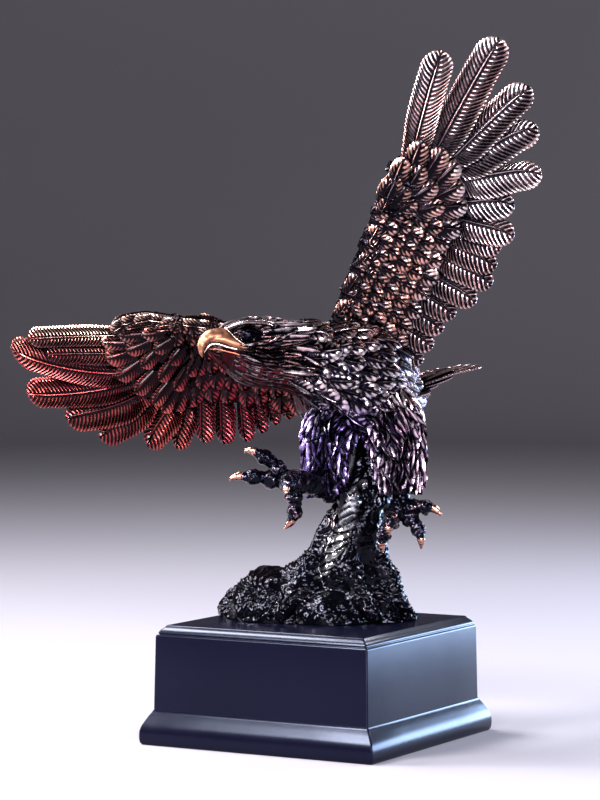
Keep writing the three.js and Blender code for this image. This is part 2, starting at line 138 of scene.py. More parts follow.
def tidy(V, F, A):
    """merge points that fall together, drop collapsed faces, face outwards"""
    key = np.round(V, 4)
    _, first, inv = np.unique(key, axis=0, return_index=True, return_inverse=True)
    inv = np.asarray(inv).reshape(-1)
    V, A = V[first], A[first]
    F = inv[F]
    ok = (F[:, 0] != F[:, 1]) & (F[:, 1] != F[:, 2]) & (F[:, 0] != F[:, 2])
    F = F[ok]
    a, b, c = V[F[:, 0]], V[F[:, 1]], V[F[:, 2]]
    if np.einsum("ij,ij->", a - V.mean(0), np.cross(b - V.mean(0), c - V.mean(0))) < 0:
        F = F[:, ::-1]
    return V, F, A


class Heap:
    """a pile of closed shells that becomes one piece"""

    def __init__(self):
        self.items = []

    def add(self, V, F, A):
        self.items.append(tidy(np.asarray(V, float), np.asarray(F), np.asarray(A, float)))

    def count(self):
        return sum(len(i[1]) for i in self.items)


def plate(top, bot, ct, cb):
    R, C = top.shape[:2]
    n = R * C
    V = np.concatenate([top.reshape(-1, 3), bot.reshape(-1, 3)])
    idx = np.arange(n).reshape(R, C)
    loop = np.concatenate([idx[0, :-1], idx[:-1, -1], idx[-1, :0:-1], idx[:0:-1, 0]])
    nxt = np.roll(loop, -1)
    F = np.concatenate([grid_faces(R, C), grid_faces(R, C, n, True),
                        np.stack([loop, loop + n, nxt + n], 1), np.stack([loop, nxt + n, nxt], 1)])
    return V, F, np.concatenate([ct.reshape(-1), cb.reshape(-1)])


def tiled(top, ct, under, cu):
    """relief on top, closed below by a fan to one point"""
    R, C = top.shape[:2]
    n = R * C
    V = np.concatenate([top.reshape(-1, 3), [under]])
    idx = np.arange(n).reshape(R, C)
    loop = np.concatenate([idx[0, :-1], idx[:-1, -1], idx[-1, :0:-1], idx[:0:-1, 0]])
    nxt = np.roll(loop, -1)
    F = np.concatenate([grid_faces(R, C), np.stack([nxt, loop, np.full(len(loop), n)], 1)])
    return V, F, np.concatenate([ct.reshape(-1), [cu]])


def rings(P, A):
    """closed skin over a stack of rings (k, m, 3)"""
    k, m = P.shape[:2]
    V = np.concatenate([P.reshape(-1, 3), [P[0].mean(0)], [P[-1].mean(0)]])
    i, j = np.meshgrid(np.arange(k - 1), np.arange(m), indexing="ij")
    a = (i * m + j).ravel()
    b = (i * m + (j + 1) % m).ravel()
    c, d = a + m, b + m
    j = np.arange(m)
    e = (j + 1) % m
    F = np.concatenate([np.stack([a, b, d], 1), np.stack([a, d, c], 1),
                        np.stack([np.full(m, k * m), e, j], 1),
                        np.stack([np.full(m, k * m + 1), (k - 1) * m + j, (k - 1) * m + e], 1)])
    A = np.concatenate([A.reshape(-1), [A[0].mean()], [A[-1].mean()]])
    return V, F, A


def frames(tang, up):
    side = unit(np.cross(tang, np.asarray(up, float)))
    top = unit(np.cross(side, tang))
    return side, top


def tube(heap, pts, radii, n, sides, up=(0, 0, 1), shape=None, cav=0.7):
    """oval tube; radii rows are (half-height, half-width); shape(u, a, P) -> (scale, cav)"""
    P, T, ln = curve_points(pts, n)
    side, top = frames(T, up)
    r = np.asarray(radii, float)
    if r.ndim == 1:
        r = np.stack([r, r], 1)
    u = np.linspace(0, 1, n)
    k = u * (len(r) - 1)
    k0 = np.minimum(k.astype(int), len(r) - 2)
    f = step(0, 1, k - k0)[:, None]
    rr = r[k0] * (1 - f) + r[k0 + 1] * f
    a = np.linspace(0, 2 * np.pi, sides, endpoint=False)
    U, AA = np.meshgrid(u, a, indexing="ij")
    sc, cv = np.ones_like(U), np.full_like(U, cav)
    if shape is not None:
        sc, cv = shape(U, AA, ln)
    Q = (P[:, None, :3] + side[:, None] * (np.cos(AA) * rr[:, 1:2] * sc)[..., None]
         + top[:, None] * (np.sin(AA) * rr[:, 0:1] * sc)[..., None])
    heap.add(*rings(Q, cv))


def ball(heap, c, r, seg=16, cav=0.7, shape=None):
    r = np.ones(3) * r
    la = np.linspace(0, np.pi, seg // 2 + 1)[1:-1]
    lo = np.linspace(0, 2 * np.pi, seg, endpoint=False)
    LA, LO = np.meshgrid(la, lo, indexing="ij")
    D = np.stack([np.sin(LA) * np.cos(LO), np.sin(LA) * np.sin(LO), np.cos(LA)], -1)
    k = np.ones_like(LA) if shape is None else shape(D)
    P = np.asarray(c, float) + D * r * k[..., None]
    V, F, A = rings(P, np.full(LA.shape, cav))
    V[-2] = np.asarray(c) + [0, 0, r[2]]
    V[-1] = np.asarray(c) - [0, 0, r[2]]
    heap.add(V, F, A)


# ---------------------------------------------------------------- one feather
V_FULL = np.array([-1, -0.93, -0.76, -0.5, -0.2, -0.09, 0, 0.09, 0.2, 0.5, 0.76, 0.93, 1.0])
V_MID = np.array([-1, -0.84, -0.5, -0.14, 0, 0.14, 0.5, 0.84, 1.0])
V_LOW = np.array([-1, -0.5, 0, 0.5, 1.0])


def feather(heap, at, s, t, angle, L, W, n0, n1, hidden=0.0, curve=0.0, roll=0.0, thick=1.3, pitch=2.3,
            relief=0.26, shaft=0.55, camber=0.5, base=0.55, tip=1.0, cols=V_FULL, steps=3, both=True,
            droop=0.0, point=0.0, slant=0.45, face=1, lf=0.5, wide=0.0, groove=0.42, shade=0.0, mark=0.0):
    """A feather laid in a sheet. at(s, t, n) places a point. Its barbs are real grooves that run from the
    raised shaft to the edge, and its outline is notched where they end. face=-1 turns its show side to -n.
    lf is the leading vane's share of the width, wide swells the trailing vane near its root."""
    x = np.linspace(hidden, L, 500)
    xr = (x - hidden) / (L - hidden)
    rt = W / 2 * tip
    k = np.clip((x - (L - rt)) / rt, 0, 1)
    cap = np.maximum(0, 1 - k**2) ** 0.5
    g = lerp(base, 1, step(0, 0.5, xr))
    if point:
        cap = cap * (1 - point * step(0.35, 1, xr))
    hL = W * lf * g * cap
    hT = W * (1 - lf) * lerp(base, 1, step(0, 0.3, xr)) * (1 + wide * (1 - step(0.3, 0.85, xr))) * cap
    off = W / 2 * (1 - 2 * lf) * cap
    h = (hL + hT) / 2
    S = np.concatenate([[0], np.cumsum(np.hypot(np.diff(x), np.diff(h)))])
    barbs = max(2, int(round((L - hidden) / pitch)))
    n = steps * barbs + 1
    w = np.linspace(0, 1, n)
    q = w * S[-1]
    e, hl, ht, of = np.interp(q, S, x), np.interp(q, S, hL), np.interp(q, S, hT), np.interp(q, S, off)
    a = hidden + q - (S[-1] - (L - hidden)) * step(0, 0.35, w) - slant * W / 2 * np.sin(np.pi * w)
    a = np.maximum.accumulate(np.maximum(a, hidden))
    a = hidden + (a - hidden) * 0.96 + 0.04 * (L - hidden) * w
    a[-1] = L
    v = np.abs(cols)[None, :]
    sg = np.sign(cols)[None, :]
    X = a[:, None] + (e - a)[:, None] * v**1.8
    pat = {3: np.array([1.0, -0.45, -1.0]), 2: np.array([1.0, -1.0]), 1: np.array([0.0])}[steps][np.arange(n) % steps][:, None]
    fade = (step(0, 0.06, w) * (1 - 0.5 * step(0.94, 1.0, w)))[:, None]
    taper = (1 - 0.55 * w)[:, None]
    kind = len(cols)
    if kind > 9:
        win = np.interp(v, [0, 0.09, 0.2, 0.76, 0.93, 1], [0, 0.05, 0.8, 1, 0.6, 0.3])
        prof = np.interp(v, [0, 0.09, 0.2, 0.5, 0.76, 0.93, 1], [shaft, -0.35 * shaft, 0.15, 0.24, 0.1, 0.14, -0.2]) * (0.4 + 0.6 * taper)
    elif kind > 5:
        win = np.interp(v, [0, 0.14, 0.5, 0.84, 1], [0, 0.3, 1, 0.7, 0.2])
        prof = np.interp(v, [0, 0.14, 0.5, 0.84, 1], [shaft, -0.25 * shaft, 0.05, 0.18, -0.25])
    else:
        win = np.interp(v, [0, 0.5, 1], [0, 1, 0.6])
        prof = np.interp(v, [0, 0.5, 1], [shaft, 0.0, -0.1])
    notch = np.where(v > 0.99, 1 - 0.035 * np.clip(-pat, 0, 1) * fade, 1.0)
    B = np.where(sg > 0, hl[:, None], -ht[:, None]) * v * notch + of[:, None]
    rel = relief * pat * win * fade
    cam = camber * (1 - v**2)
    tip_down = -droop * step(0.55, 1, X / L) ** 2
    half = thick / 2 * np.interp(v, [0, 0.5, 1], [1, 0.8, 0.45]) * (1 - 0.3 * w[:, None])
    nm = lerp(n0, n1, X / L) + roll * B / (W / 2) + tip_down
    ang = np.radians(angle + curve * X / L)
    SS = s + X * np.cos(ang) + B * np.sin(ang)
    TT = t + X * np.sin(ang) - B * np.cos(ang)
    up = nm + face * (cam + half + prof + rel)
    if kind > 5:
        cav = 0.56 + groove * pat * win * fade
        cav = np.where(v < 0.05, 0.95, np.where(v < 0.16, np.where(v < 0.15, 0.05, cav), cav))
        cav = np.where(v > 0.83, np.maximum(cav, 0.74 + 0.22 * pat), cav) if kind <= 9 else np.where(v > 0.92, np.maximum(cav, 0.72 + 0.25 * pat), cav)
        cav = cav + np.zeros_like(SS)
    else:
        cav = np.interp(v, [0, 0.5, 1], [0.98, 0.62, 0.1]) + groove * pat * win * fade + np.zeros_like(SS)
    # painted shade: cav darkens towards the feather's root, where it lies under the row above
    if shade:
        cav = cav * lerp(1 - shade, 1, step(0.3, 0.85, X / L))
    if mark:
        cav = mark + 0.9 * np.clip(cav, 0, 1)
    up[-1, :] = up[-1].mean()
    top = at(SS, TT, up)
    if both:
        dn = nm + face * (cam * 0.5 - half - 0.6 * prof - rel)
        dn[-1, :] = up[-1, 0] - face * thick * 0.5
        V, F, A = plate(top, at(SS, TT, dn), cav, cav)
    else:
        m = n // 2
        c = len(cols) // 2
        u0 = at(SS[m:m + 1, c], TT[m:m + 1, c], nm[m:m + 1, c] - face * thick)[0]
        V, F, A = tiled(top, cav, u0, 0.1)
    heap.add(V, F, A)


# ---------------------------------------------------------------- wings
BEND = dict(chord=4.5, middle=14, half=44, span=10, reach=190)
LEFT_WING = dict(
    root=(14.4, 0, 215.2), span=(0.449, -0.252, 0.857), chord=(0.882, -0.028, -0.470),
    lead=[(-14, -9.5), (6, -11), (34, -14), (69, -17), (88, -21.5), (100, -21.5), (112, -16), (122, -8)],
    edge=[(-14, 34), (15, 29), (51, 28), (66, 25), (84, 25), (102, 22), (114, 12), (122, -2)],
    start=-12, stop=118, hidden=9,
    # long outer feathers: base s, base t, angle, length, width, curve, leading share
    primaries=[(96, -12, -15.8, 72, 17.5, 3, 0.5), (102, -5, -1, 84, 19, 2, 0.47), (104, 1, 15, 70, 17, 3, 0.44),
               (102, 4, 28, 61, 16, 4, 0.3), (100, 7.5, 49, 54, 15.5, 3, 0.27), (90, 12, 55, 39.5, 15, 2, 0.27)],
    # inner flight feathers: tip s, tip t, angle, length, width
    sec=[(97, 53, 74, 36, 14.5), (87, 50, 80, 33, 12.5), (77.5, 52.5, 84, 34, 13), (68, 55, 87, 36, 13), (55, 52, 90, 33, 13),
         (42.5, 45.5, 93, 27, 12.5), (32, 43.5, 94, 25, 12), (21, 43, 95, 24, 12), (11, 42, 96, 22, 11)],
    # primary coverts: tip s, tip t, angle, length, width, rise
    pcov=[(119, -15, -12, 26, 12.5, 3.2), (121, -2.5, 2, 27, 13, 3.1), (118, 8, 18, 27, 12.5, 3.0), (109, 16, 34, 27, 12.5, 2.9), (100, 23, 50, 26, 12.5, 2.8),
          (107, -19, -10, 22, 11, 4.4), (108, -8, 4, 23, 11, 4.3), (103, 3, 24, 23, 11, 4.2), (95, 12, 42, 22, 10.5, 4.1),
          (97, -17, -6, 19, 9.5, 4.6), (95, -10, 12, 19, 9.5, 4.7), (90, -2, 34, 19, 9.5, 4.6)], cov_stop=88, lead_stop=97)
RIGHT_WING = dict(
    root=(-3.6, 6, 215.0), span=(-0.918, 0.396, 0), chord=(0.160, 0.371, -0.915),
    lead=[(-14, -12), (52, -10), (76, -13), (100, -16), (118, -12), (130, -2)],
    edge=[(-14, 44), (25, 41), (52, 38), (74, 38), (100, 38.5), (112, 38), (122, 28), (132, 10)],
    start=-12, stop=127, hidden=4,
    primaries=[(106, -3, 3, 78, 12.5, 2, 0.5), (112, 9, 3, 62, 13, 1, 0.5), (112, 19, 7.7, 86, 20, -13, 0.6), (112, 25, 17.5, 82, 18, -7.5, 0.55),
               (108, 34, 29, 63, 16.5, -11, 0.35), (104, 35, 43, 51, 16, -9, 0.32), (90, 37, 52, 39, 15.5, -2, 0.3), (80, 34, 66, 37, 13, -2, 0.28)],
    sec=[(77.5, 62, 82, 34, 14), (64.5, 62.5, 83, 33, 14), (50.5, 60.5, 87, 31, 12), (40, 55.5, 94, 28, 10.5), (31, 50.5, 101, 25, 10),
         (22, 47, 107, 23, 10), (13, 45, 110, 20, 9), (4, 44, 110, 18, 9)],
    pcov=[(133, 2, -2, 27, 10, 2.8), (132.5, 13, 12, 27, 13, 3.1), (127, 25, 34, 28, 11, 3.2), (117, 33.5, 43, 28, 10, 3.4), (106, 39.5, 45, 28, 9.5, 3.3), (101, 44.5, 50, 26, 9.5, 2.6),
          (92, 43.5, 62, 23, 10, 2.4), (83, 41, 72, 21, 11, 2.2),
          (120, -3, 0, 22, 9.5, 4.0), (117, 7, 18, 23, 10, 4.4), (109, 16.5, 38, 24, 9.5, 4.7), (99, 24.5, 44, 24, 9, 4.7), (90, 30, 52, 22, 9, 4.4),
          (104, -4, 6, 19, 9.5, 4.7), (99, 6, 30, 19, 9.5, 4.9), (90, 14, 42, 19, 9, 4.9), (80, 21, 56, 18, 9, 4.6)], cov_stop=78, lead_stop=119)


def sheet(wing):
    S = unit(wing["span"])
    T = np.asarray(wing["chord"], float)
    T = unit(T - S * (T @ S))
    N = np.cross(S, T)
    if N[1] > 0:
        N = -N
    O = np.asarray(wing["root"], float)

    def at(s, t, n):
        s, t, n = np.broadcast_arrays(np.asarray(s, float), t, n)
        bend = -BEND["chord"] * (1 - ((t - BEND["middle"]) / BEND["half"]) ** 2) - BEND["span"] * (s / BEND["reach"]) ** 2
        return O + s[..., None] * S + t[..., None] * T + (n + bend)[..., None] * N
    return at


def wing(heap, w, seed, rows, back_rows):
    at = sheet(w)
    r = np.random.default_rng(seed)
    lead = lambda s: read(w["lead"], s)
    edge = lambda s: read(w["edge"], s)
    # the wing's core: a thin aerofoil slab
    ss = np.linspace(w["start"], w["stop"], 44)
    ff = 0.5 - 0.5 * np.cos(np.linspace(0, 2 * np.pi, 40, endpoint=False))
    sgn = np.where(np.arange(40) < 20, 1, -1)
    SS = np.repeat(ss[:, None], 40, 1)
    a, b = lead(SS), edge(SS)
    th = lerp(2.9, 1.1, ff)[None] * np.sqrt(np.clip(1 - (1 - np.clip(ff / 0.12, 0, 1)) ** 2, 0, 1))[None]
    th = th * np.sqrt(np.clip((w["stop"] + 1.0 - SS) / 10, 0, 1))
    core = at(SS, lerp(a, b, ff[None]) - 1.0 + 0 * SS, sgn[None] * th)
    heap.add(*rings(core, np.full(SS.shape, 0.12)))
    # flight feathers
    for i, (s, t, ang, L, W, cu, lf) in enumerate(w["primaries"]):
        feather(heap, at, s, t, ang, L, W, 0.9 - i * 0.35, -0.6 - i * 0.25, hidden=w["hidden"], curve=cu, roll=-1.15,
                thick=1.7, pitch=2.2, relief=0.36, shaft=0.7, camber=0.55, base=0.7, tip=1.15, lf=lf, wide=0.18 if i else 0.05)
    for i, (ts, tt, ang, L, W) in enumerate(w["sec"]):
        a = math.radians(ang)
        feather(heap, at, ts - L * math.cos(a), tt - L * math.sin(a), ang + 4, L, W, 0.2, -0.4, hidden=4, curve=-4, roll=-1.5,
                thick=1.6, pitch=2.1, relief=0.34, shaft=0.6, camber=0.75, base=0.75, tip=1.05, lf=0.3, wide=0.05)
    # coverts: rows like tiles, the rows near the trailing edge first
    for face, table in ((1, rows), (-1, back_rows)):
        for k, (f, L, W, rise) in enumerate(table):
            s = w["start"] + 6 + (W * 0.42 if k % 2 else 0)
            stop = w["cov_stop"] + (10 if f < 0.4 else 0) if face > 0 else w["stop"] - 12
            while s < stop:
                wob = 1 + r.uniform(-0.1, 0.12)
                a, b = lead(s), edge(s)
                tip_t = lerp(a, b, f) + r.uniform(-1.2, 1.2)
                LL = L * wob
                fan = lerp(98, 66, step(20, w["stop"], s)) + r.uniform(-17, 17)
                ang = math.radians(fan)
                top = lerp(2.9, 1.1, min(1, f))
                feather(heap, at, s - LL * math.cos(ang), tip_t - LL * math.sin(ang), fan, LL, W * (1 + r.uniform(-0.1, 0.18)),
                        face * (top - 1.6), face * (top + rise + r.uniform(-0.6, 0.7)), roll=-face * r.uniform(-0.5, 1.2), thick=1.3,
                        pitch=1.9 if face > 0 else 2.6, relief=0.2, shaft=0.45, camber=1.3, base=0.65, tip=1.25,
                        cols=V_MID, steps=2, both=False, droop=1.2 * face, face=face, slant=0.4, groove=0.34, shade=0.5)
                s += W * (0.86 if face > 0 else 0.95) * (1 + r.uniform(-0.07, 0.07))
    # primary coverts over the bases of the long outer feathers
    for (ts, tt, ang, L, W, rise) in w["pcov"]:
        for face in (1, -1):
            an = ang + r.uniform(-3, 3)
            a = math.radians(an)
            feather(heap, at, ts - L * math.cos(a), tt - L * math.sin(a), an, L, W, face * (rise - 2.4), face * rise, hidden=1,
                    roll=-face * 1.0, thick=1.5, pitch=2.0, relief=0.24, shaft=0.6, camber=1.25, base=0.65, tip=1.2,
                    cols=V_MID, steps=2, both=False, droop=0.9 * face, face=face, lf=0.42, groove=0.36, shade=0.45)
    # short feathers that overlap like tiles along the leading edge
    for off, L0, W0, gap in ((4.6, 18, 9.6, 9.0), (1.2, 15, 8.0, 7.4)):
        s = w["start"] + 4 + off
        while s < w["lead_stop"]:
            d = math.degrees(math.atan2(lead(s + 6) - lead(s - 6), 12))
            k = 1 + r.uniform(-0.16, 0.2)
            for face in (1, -1):
                feather(heap, at, s - 5, lead(s - 5) + off + r.uniform(-0.6, 0.8), d + 9 + r.uniform(-9, 9), L0 * k, W0 * k, face * 1.0, face * (3.0 + r.uniform(-0.7, 0.9)),
                        curve=r.uniform(-4, 10), roll=face * r.uniform(-0.2, 1.1), thick=1.6, pitch=2.0, relief=0.2, shaft=0.4, camber=1.3, base=0.7,
                        tip=1.2, cols=V_MID, steps=2, both=False, droop=face * 1.0, face=face, groove=0.34, shade=0.4)
            s += gap * k
    return at


left, right = Heap(), Heap()
# each row: where its tips lie across the chord, length, width, how far the tips stand up
ROWS = [(1.02, 17, 12, 1.7), (0.84, 15.5, 11, 2.6), (0.66, 14.5, 10.4, 2.7), (0.49, 13, 9.8, 2.6), (0.33, 12, 9.2, 2.3), (0.18, 10.5, 8.4, 1.8)]
BACK = [(1.03, 19, 12.5, 1.2), (0.80, 17, 11.5, 2.0), (0.58, 15, 10.5, 2.1), (0.38, 13, 9.6, 1.9), (0.20, 11, 8.6, 1.5)]
wing(left, LEFT_WING, 3, ROWS, BACK)
wing(right, RIGHT_WING, 5, ROWS, BACK)

# ---------------------------------------------------------------- body: one smooth skin, then feathers laid on it
BODY = [(-53, -32.4, 213.6, 7.4, 4.8), (-49, -31, 213.8, 11.4, 8.0), (-43, -28.5, 213.0, 15.0, 11.3), (-32, -24, 210.8, 17.5, 13.8),
        (-20, -19.5, 209.5, 17.2, 15.5), (-6, -13, 206.5, 19, 18.5), (10, -5, 202, 24, 23), (26, 5, 197, 27, 25),
        (37, 16, 191, 22, 18), (46, 28, 189, 14, 13), (53, 40, 190, 6, 10)]
LUMPS = [(6, 6, 191, 20, 20, 23), (24, 3, 209, 20, 15, 17), (22, -6, 185, 22, 16, 18)]
NS, NA = 110, 96


class Skin:
    """radial surface around a curved axis: at(s, t, n), s along the axis in mm, t around it in mm"""

    def __init__(self, pts, lumps=(), ns=NS, na=NA, square=2.0, up=(0, 0, 1), dent=None, blur=2):
        P, T, self.ln = curve_points([p[:5] for p in pts], ns)
        self.side, self.top = frames(T, up)
        self.c = P[:, :3]
        self.T = T
        a = np.linspace(0, 2 * np.pi, na, endpoint=False)
        ca, sa = np.cos(a)[None], np.sin(a)[None]
        hh, hw = P[:, 3:4], P[:, 4:5]
        R = (np.abs(ca / hw) ** square + np.abs(sa / hh) ** square) ** (-1 / square)
        D = self.side[:, None] * ca[..., None] + self.top[:, None] * sa[..., None]
        for (x, y, z, rx, ry, rz) in lumps:
            k = np.array([rx, ry, rz], float)
            o = (self.c[:, None] - np.array([x, y, z])) / k
            d = D / k
            A = (d * d).sum(-1); B = (o * d).sum(-1); Cq = (o * o).sum(-1) - 1
            disc = B * B - A * Cq
            ex = np.where(disc > 0, (-B + np.sqrt(np.maximum(disc, 0))) / A, 0)
            R = np.maximum(R, ex) + 0.6 * np.exp(-((R - ex) / 3.0) ** 2)
        for _ in range(blur):
            R = (R + np.roll(R, 1, 1) + np.roll(R, -1, 1)) / 3
            Q = np.pad(R, ((1, 1), (0, 0)), mode="edge")
            R = (Q[:-2] + Q[1:-1] + Q[2:]) / 3
        self.R, self.ns, self.na = R, ns, na
        self.rm = np.sqrt(P[:, 3] * P[:, 4])
        self.P = self.c[:, None] + D * R[..., None]
        if dent is not None:
            self.P = dent(self.P)
        gu = np.gradient(self.P, axis=0)
        gv = np.roll(self.P, -1, 1) - np.roll(self.P, 1, 1)
        N = unit(np.cross(gv, gu))
        out = self.P - self.c[:, None]
        self.N = N * np.sign((N * out).sum(-1, keepdims=True))

    def sample(self, s, phi):
        u = np.clip(s / self.ln * (self.ns - 1), 0, self.ns - 1.001)
        v = (phi / (2 * np.pi) * self.na) % self.na
        i, j = u.astype(int), v.astype(int)
        fu, fv = (u - i)[..., None], (v - j)[..., None]
        j1 = (j + 1) % self.na

        def mix(G):
            return (G[i, j] * (1 - fu) + G[i + 1, j] * fu) * (1 - fv) + (G[i, j1] * (1 - fu) + G[i + 1, j1] * fu) * fv
        return mix(self.P), unit(mix(self.N))

    def patch(self, phi0, s0):
        """a sheet around one spot: t is measured around the girth from phi0"""
        i = int(np.clip(s0 / self.ln * (self.ns - 1), 0, self.ns - 1))
        rad = max(3.0, float(np.mean(self.R[i])))

        def at(s, t, n):
            s, t, n = np.broadcast_arrays(np.asarray(s, float), t, n)
            p, m = self.sample(s, phi0 + t / rad)
            return p + m * n[..., None]
        return at

    def mesh(self, heap, cav=0.15, every=(2, 2), mark=None):
        P = self.P[::every[0], ::every[1]]
        A = np.full(P.shape[:2], cav)
        if mark is not None:
            A = np.where(mark(P), 2.0, A)
        heap.add(*rings(P, A))


body = Heap()
F = unit([-0.90, -0.43, 0])
SIDE = unit([0.43, -0.90, 0])
EYES = [np.array([-47, -30.5, 221.4]) - F * 6.4 + SIDE * k * 9.3 for k in (1, -1)]


def dent_head(P):
    for e in EYES:
        d = P - e
        q = ((d @ F - 1.5) / 9.0) ** 2 + (d[..., 2] / 4.8) ** 2 + ((d - (d @ F)[..., None] * F)[..., :2] ** 2).sum(-1) / 60
        k = np.exp(-q * q * 1.2)
        out = unit(e - (np.array([-47, -30.5, 221.4]) - F * 6.4))
        P = P - out * (k * 2.6)[..., None]
    return P


def throat_line(x):
    """height of the edge where the hackles stop and the throat, coloured in painted shade, begins"""
    return np.interp(x, [-60, -40, -30, -20, -12, -4, 6], [213, 210.5, 205.5, 200, 194, 187, 176])


# the throat, which gets the painted dark red shade
def shaded_throat(P):
    return (P[..., 0] < -6) & (P[..., 2] < throat_line(P[..., 0]) + 3)


def socket(p):
    """1 inside the sunk, dark zone around an eye"""
    return max(1 - math.hypot(((p - e) @ F - 1.5) / 9.8, (p[2] - e[2] - 0.2) / 5.2) if abs((p - e) @ SIDE) < 6 else -1 for e in EYES)


trunk_skin = Skin(BODY, LUMPS, square=2.25, dent=dent_head)
trunk_skin.mesh(body, mark=shaded_throat, every=(2, 1))

# hackles: long pointed feathers that run back from the crown over the neck; scales on chest and back
s = 8.5
row = 0
LN = trunk_skin.ln
while s < LN - 12:
    f = s / LN
    i = int(f * (NS - 1))
    girth = 2 * np.pi * trunk_skin.R[i].mean()
    neck = 1 - step(0.22, 0.33, f)
    W = lerp(10.4, 3.1, neck) * lerp(1, 0.8, 1 - step(0, 0.14, f))
    L = lerp(13.5, 21, neck) * lerp(0.5, 1, step(0.05, 0.24, f))
    n = max(8, int(girth / (W * 0.86)))
    for j in range(n):
        phi = (j + 0.5 * (row % 2)) / n * 2 * np.pi + rng.uniform(-0.03, 0.03)
        s1 = s + rng.uniform(-1.5, 1.5) * neck
        p, m = trunk_skin.sample(np.array([s1]), np.array([phi]))
        p, m = p[0], m[0]
        if socket(p) > 0.0:
            continue
        low = p[0] < -8 + 3 * math.sin(phi * 7) and p[2] < throat_line(p[0])
        if low and p[0] < -50:
            continue
        sag = lerp(0, 9 if m[1] < 0 else -9, neck) * (1 if abs(m[2]) < 0.85 else 0.3)
        ang = rng.uniform(-5, 5) * neck + rng.uniform(-11, 11) * (1 - neck)
        LL = L * (1 + rng.uniform(-0.2, 0.2))
        if low:
            # faint flat strokes on the throat
            feather(body, trunk_skin.patch(phi, s1), s1 - 2, 0, ang * 0.5, LL, 4.2, -1.0, 0.0, curve=rng.uniform(-5, 5), thick=1.1, pitch=5.0, relief=0.04,
                    shaft=0.25, camber=0.55, base=0.8, tip=2.4, cols=V_LOW, steps=2, both=False, point=0.5, slant=0.3, groove=0.1, shade=0.3, mark=1.6)
        elif neck > 0.4:
            feather(body, trunk_skin.patch(phi, s1), s1 - 2, 0, ang + 0.4 * sag, LL, W * (1 + rng.uniform(-0.2, 0.35)), -0.9,
                    1.2 + rng.uniform(-0.6, 0.8), curve=rng.uniform(-14, 14), roll=rng.uniform(-0.5, 0.5), thick=1.4, pitch=5.0, relief=0.08,
                    shaft=0.6, camber=1.0, base=0.8, tip=2.4, cols=V_LOW, steps=2, both=False, point=0.6, slant=0.3, groove=0.1, shade=0.2)
        else:
            feather(body, trunk_skin.patch(phi, s1), s1 - 2, 0, ang, LL, W * (1 + rng.uniform(-0.1, 0.15)), -1.5,
                    2.0 + rng.uniform(-0.6, 0.8), curve=rng.uniform(-8, 8), roll=rng.uniform(-0.7, 0.7), thick=1.3, pitch=2.2, relief=0.2, shaft=0.55, camber=1.2,
                    base=0.65, tip=1.3, cols=V_MID, steps=2, both=False, droop=0.9, slant=0.4, groove=0.34, shade=0.45)
    s += L * lerp(0.58, 0.34, neck)
    row += 1

# ---------------------------------------------------------------- head: beak, jaw, brows, eyes
beak, eyes, rims, jaw = Heap(), Heap(), Heap(), Heap()
B0 = np.array([-47, -30.5, 215.5])


def on_head(f, z, w=0.0):
    return B0 + F * f + SIDE * w + np.array([0, 0, z])


line = [(-3, 3.0), (1, 4.0), (5, 4.6), (9.5, 5.1), (13.4, 4.3), (16.2, 1.9), (17.2, -1.0), (17.3, -3.8), (16.5, -6.4)]
rad = [(4.6, 6.4), (5.0, 6.6), (4.8, 6.3), (4.1, 5.4), (3.7, 4.4), (3.2, 3.5), (2.5, 2.5), (1.5, 1.5), (0.3, 0.35)]


def beak_shape(U, A, ln):
    # a soft keel along the top, flat sides
    return 1 + 0.06 * np.maximum(0, np.sin(A)) ** 5 - 0.06 * np.abs(np.sin(2 * A)), 0.9 + 0 * U


tube(beak, [on_head(f, z) for f, z in line], rad, 60, 44, shape=beak_shape)
for k in (1, -1):
    # the side of the beak runs back in a long wedge under the eye
    tube(beak, [on_head(13, 3.4, k * 1.0), on_head(9, 3.6, k * 2.4), on_head(5, 3.0, k * 4.2), on_head(2, 1.7, k * 6.2), on_head(-2, -0.2, k * 8.7), on_head(-6, -1.8, k * 10.6), on_head(-10.5, -3.4, k * 11.9)],
         [(1.8, 1.8), (2.4, 2.9), (2.8, 3.2), (2.7, 2.7), (2.0, 1.9), (1.1, 1.3), (0.35, 0.5)], 46, 16)
    # cutting edge, from the hook back to the corner of the mouth
    tube(rims, [on_head(16.0, -3.6, k * 0.9), on_head(14.7, -1.2, k * 1.9), on_head(12.6, 0.7, k * 3.0), on_head(9.8, 1.0, k * 4.3), on_head(5.5, -0.4, k * 6.6), on_head(0, -1.9, k * 9.2),
                on_head(-5, -3.0, k * 11.4), on_head(-10.5, -4.0, k * 12.8)],
         [0.3, 0.5, 0.6, 0.62, 0.62, 0.62, 0.6, 0.4], 44, 10, cav=1.0)
    # edge of the cere
    tube(rims, [on_head(4.4, 9.6, k * 1.8), on_head(3.4, 7.9, k * 5.0), on_head(1.6, 5.0, k * 7.3), on_head(-1.2, 2.3, k * 9.2), on_head(-5.1, -0.3, k * 11.2), on_head(-9.5, -2.4, k * 12.6)],
         [0.2, 0.34, 0.38, 0.38, 0.36, 0.2], 36, 10, cav=0.35)
    # rim of the lower jaw
    tube(jaw, [on_head(12.8, -1.9, k * 1.6), on_head(10.0, -1.7, k * 3.6), on_head(6.8, -2.5, k * 5.4), on_head(-1.9, -4.9, k * 9.6), on_head(-10.8, -7.4, k * 12.6), on_head(-19.6, -10.6, k * 13.7)],
         [0.25, 0.4, 0.5, 0.55, 0.5, 0.25], 36, 8, cav=0.7)
    # keel line along the underside of jaw and throat
    tube(body, [on_head(13.0, -3.0, k * 0.6), on_head(9.0, -7.4, k * 1.4), on_head(4.6, -11.4, k * 2.2), on_head(-1, -15.0, k * 3.0), on_head(-7.1, -18.0, k * 3.6), on_head(-17.2, -22.2, k * 4.2)],
         [0.25, 0.55, 0.6, 0.6, 0.55, 0.2], 36, 8, cav=2.4)
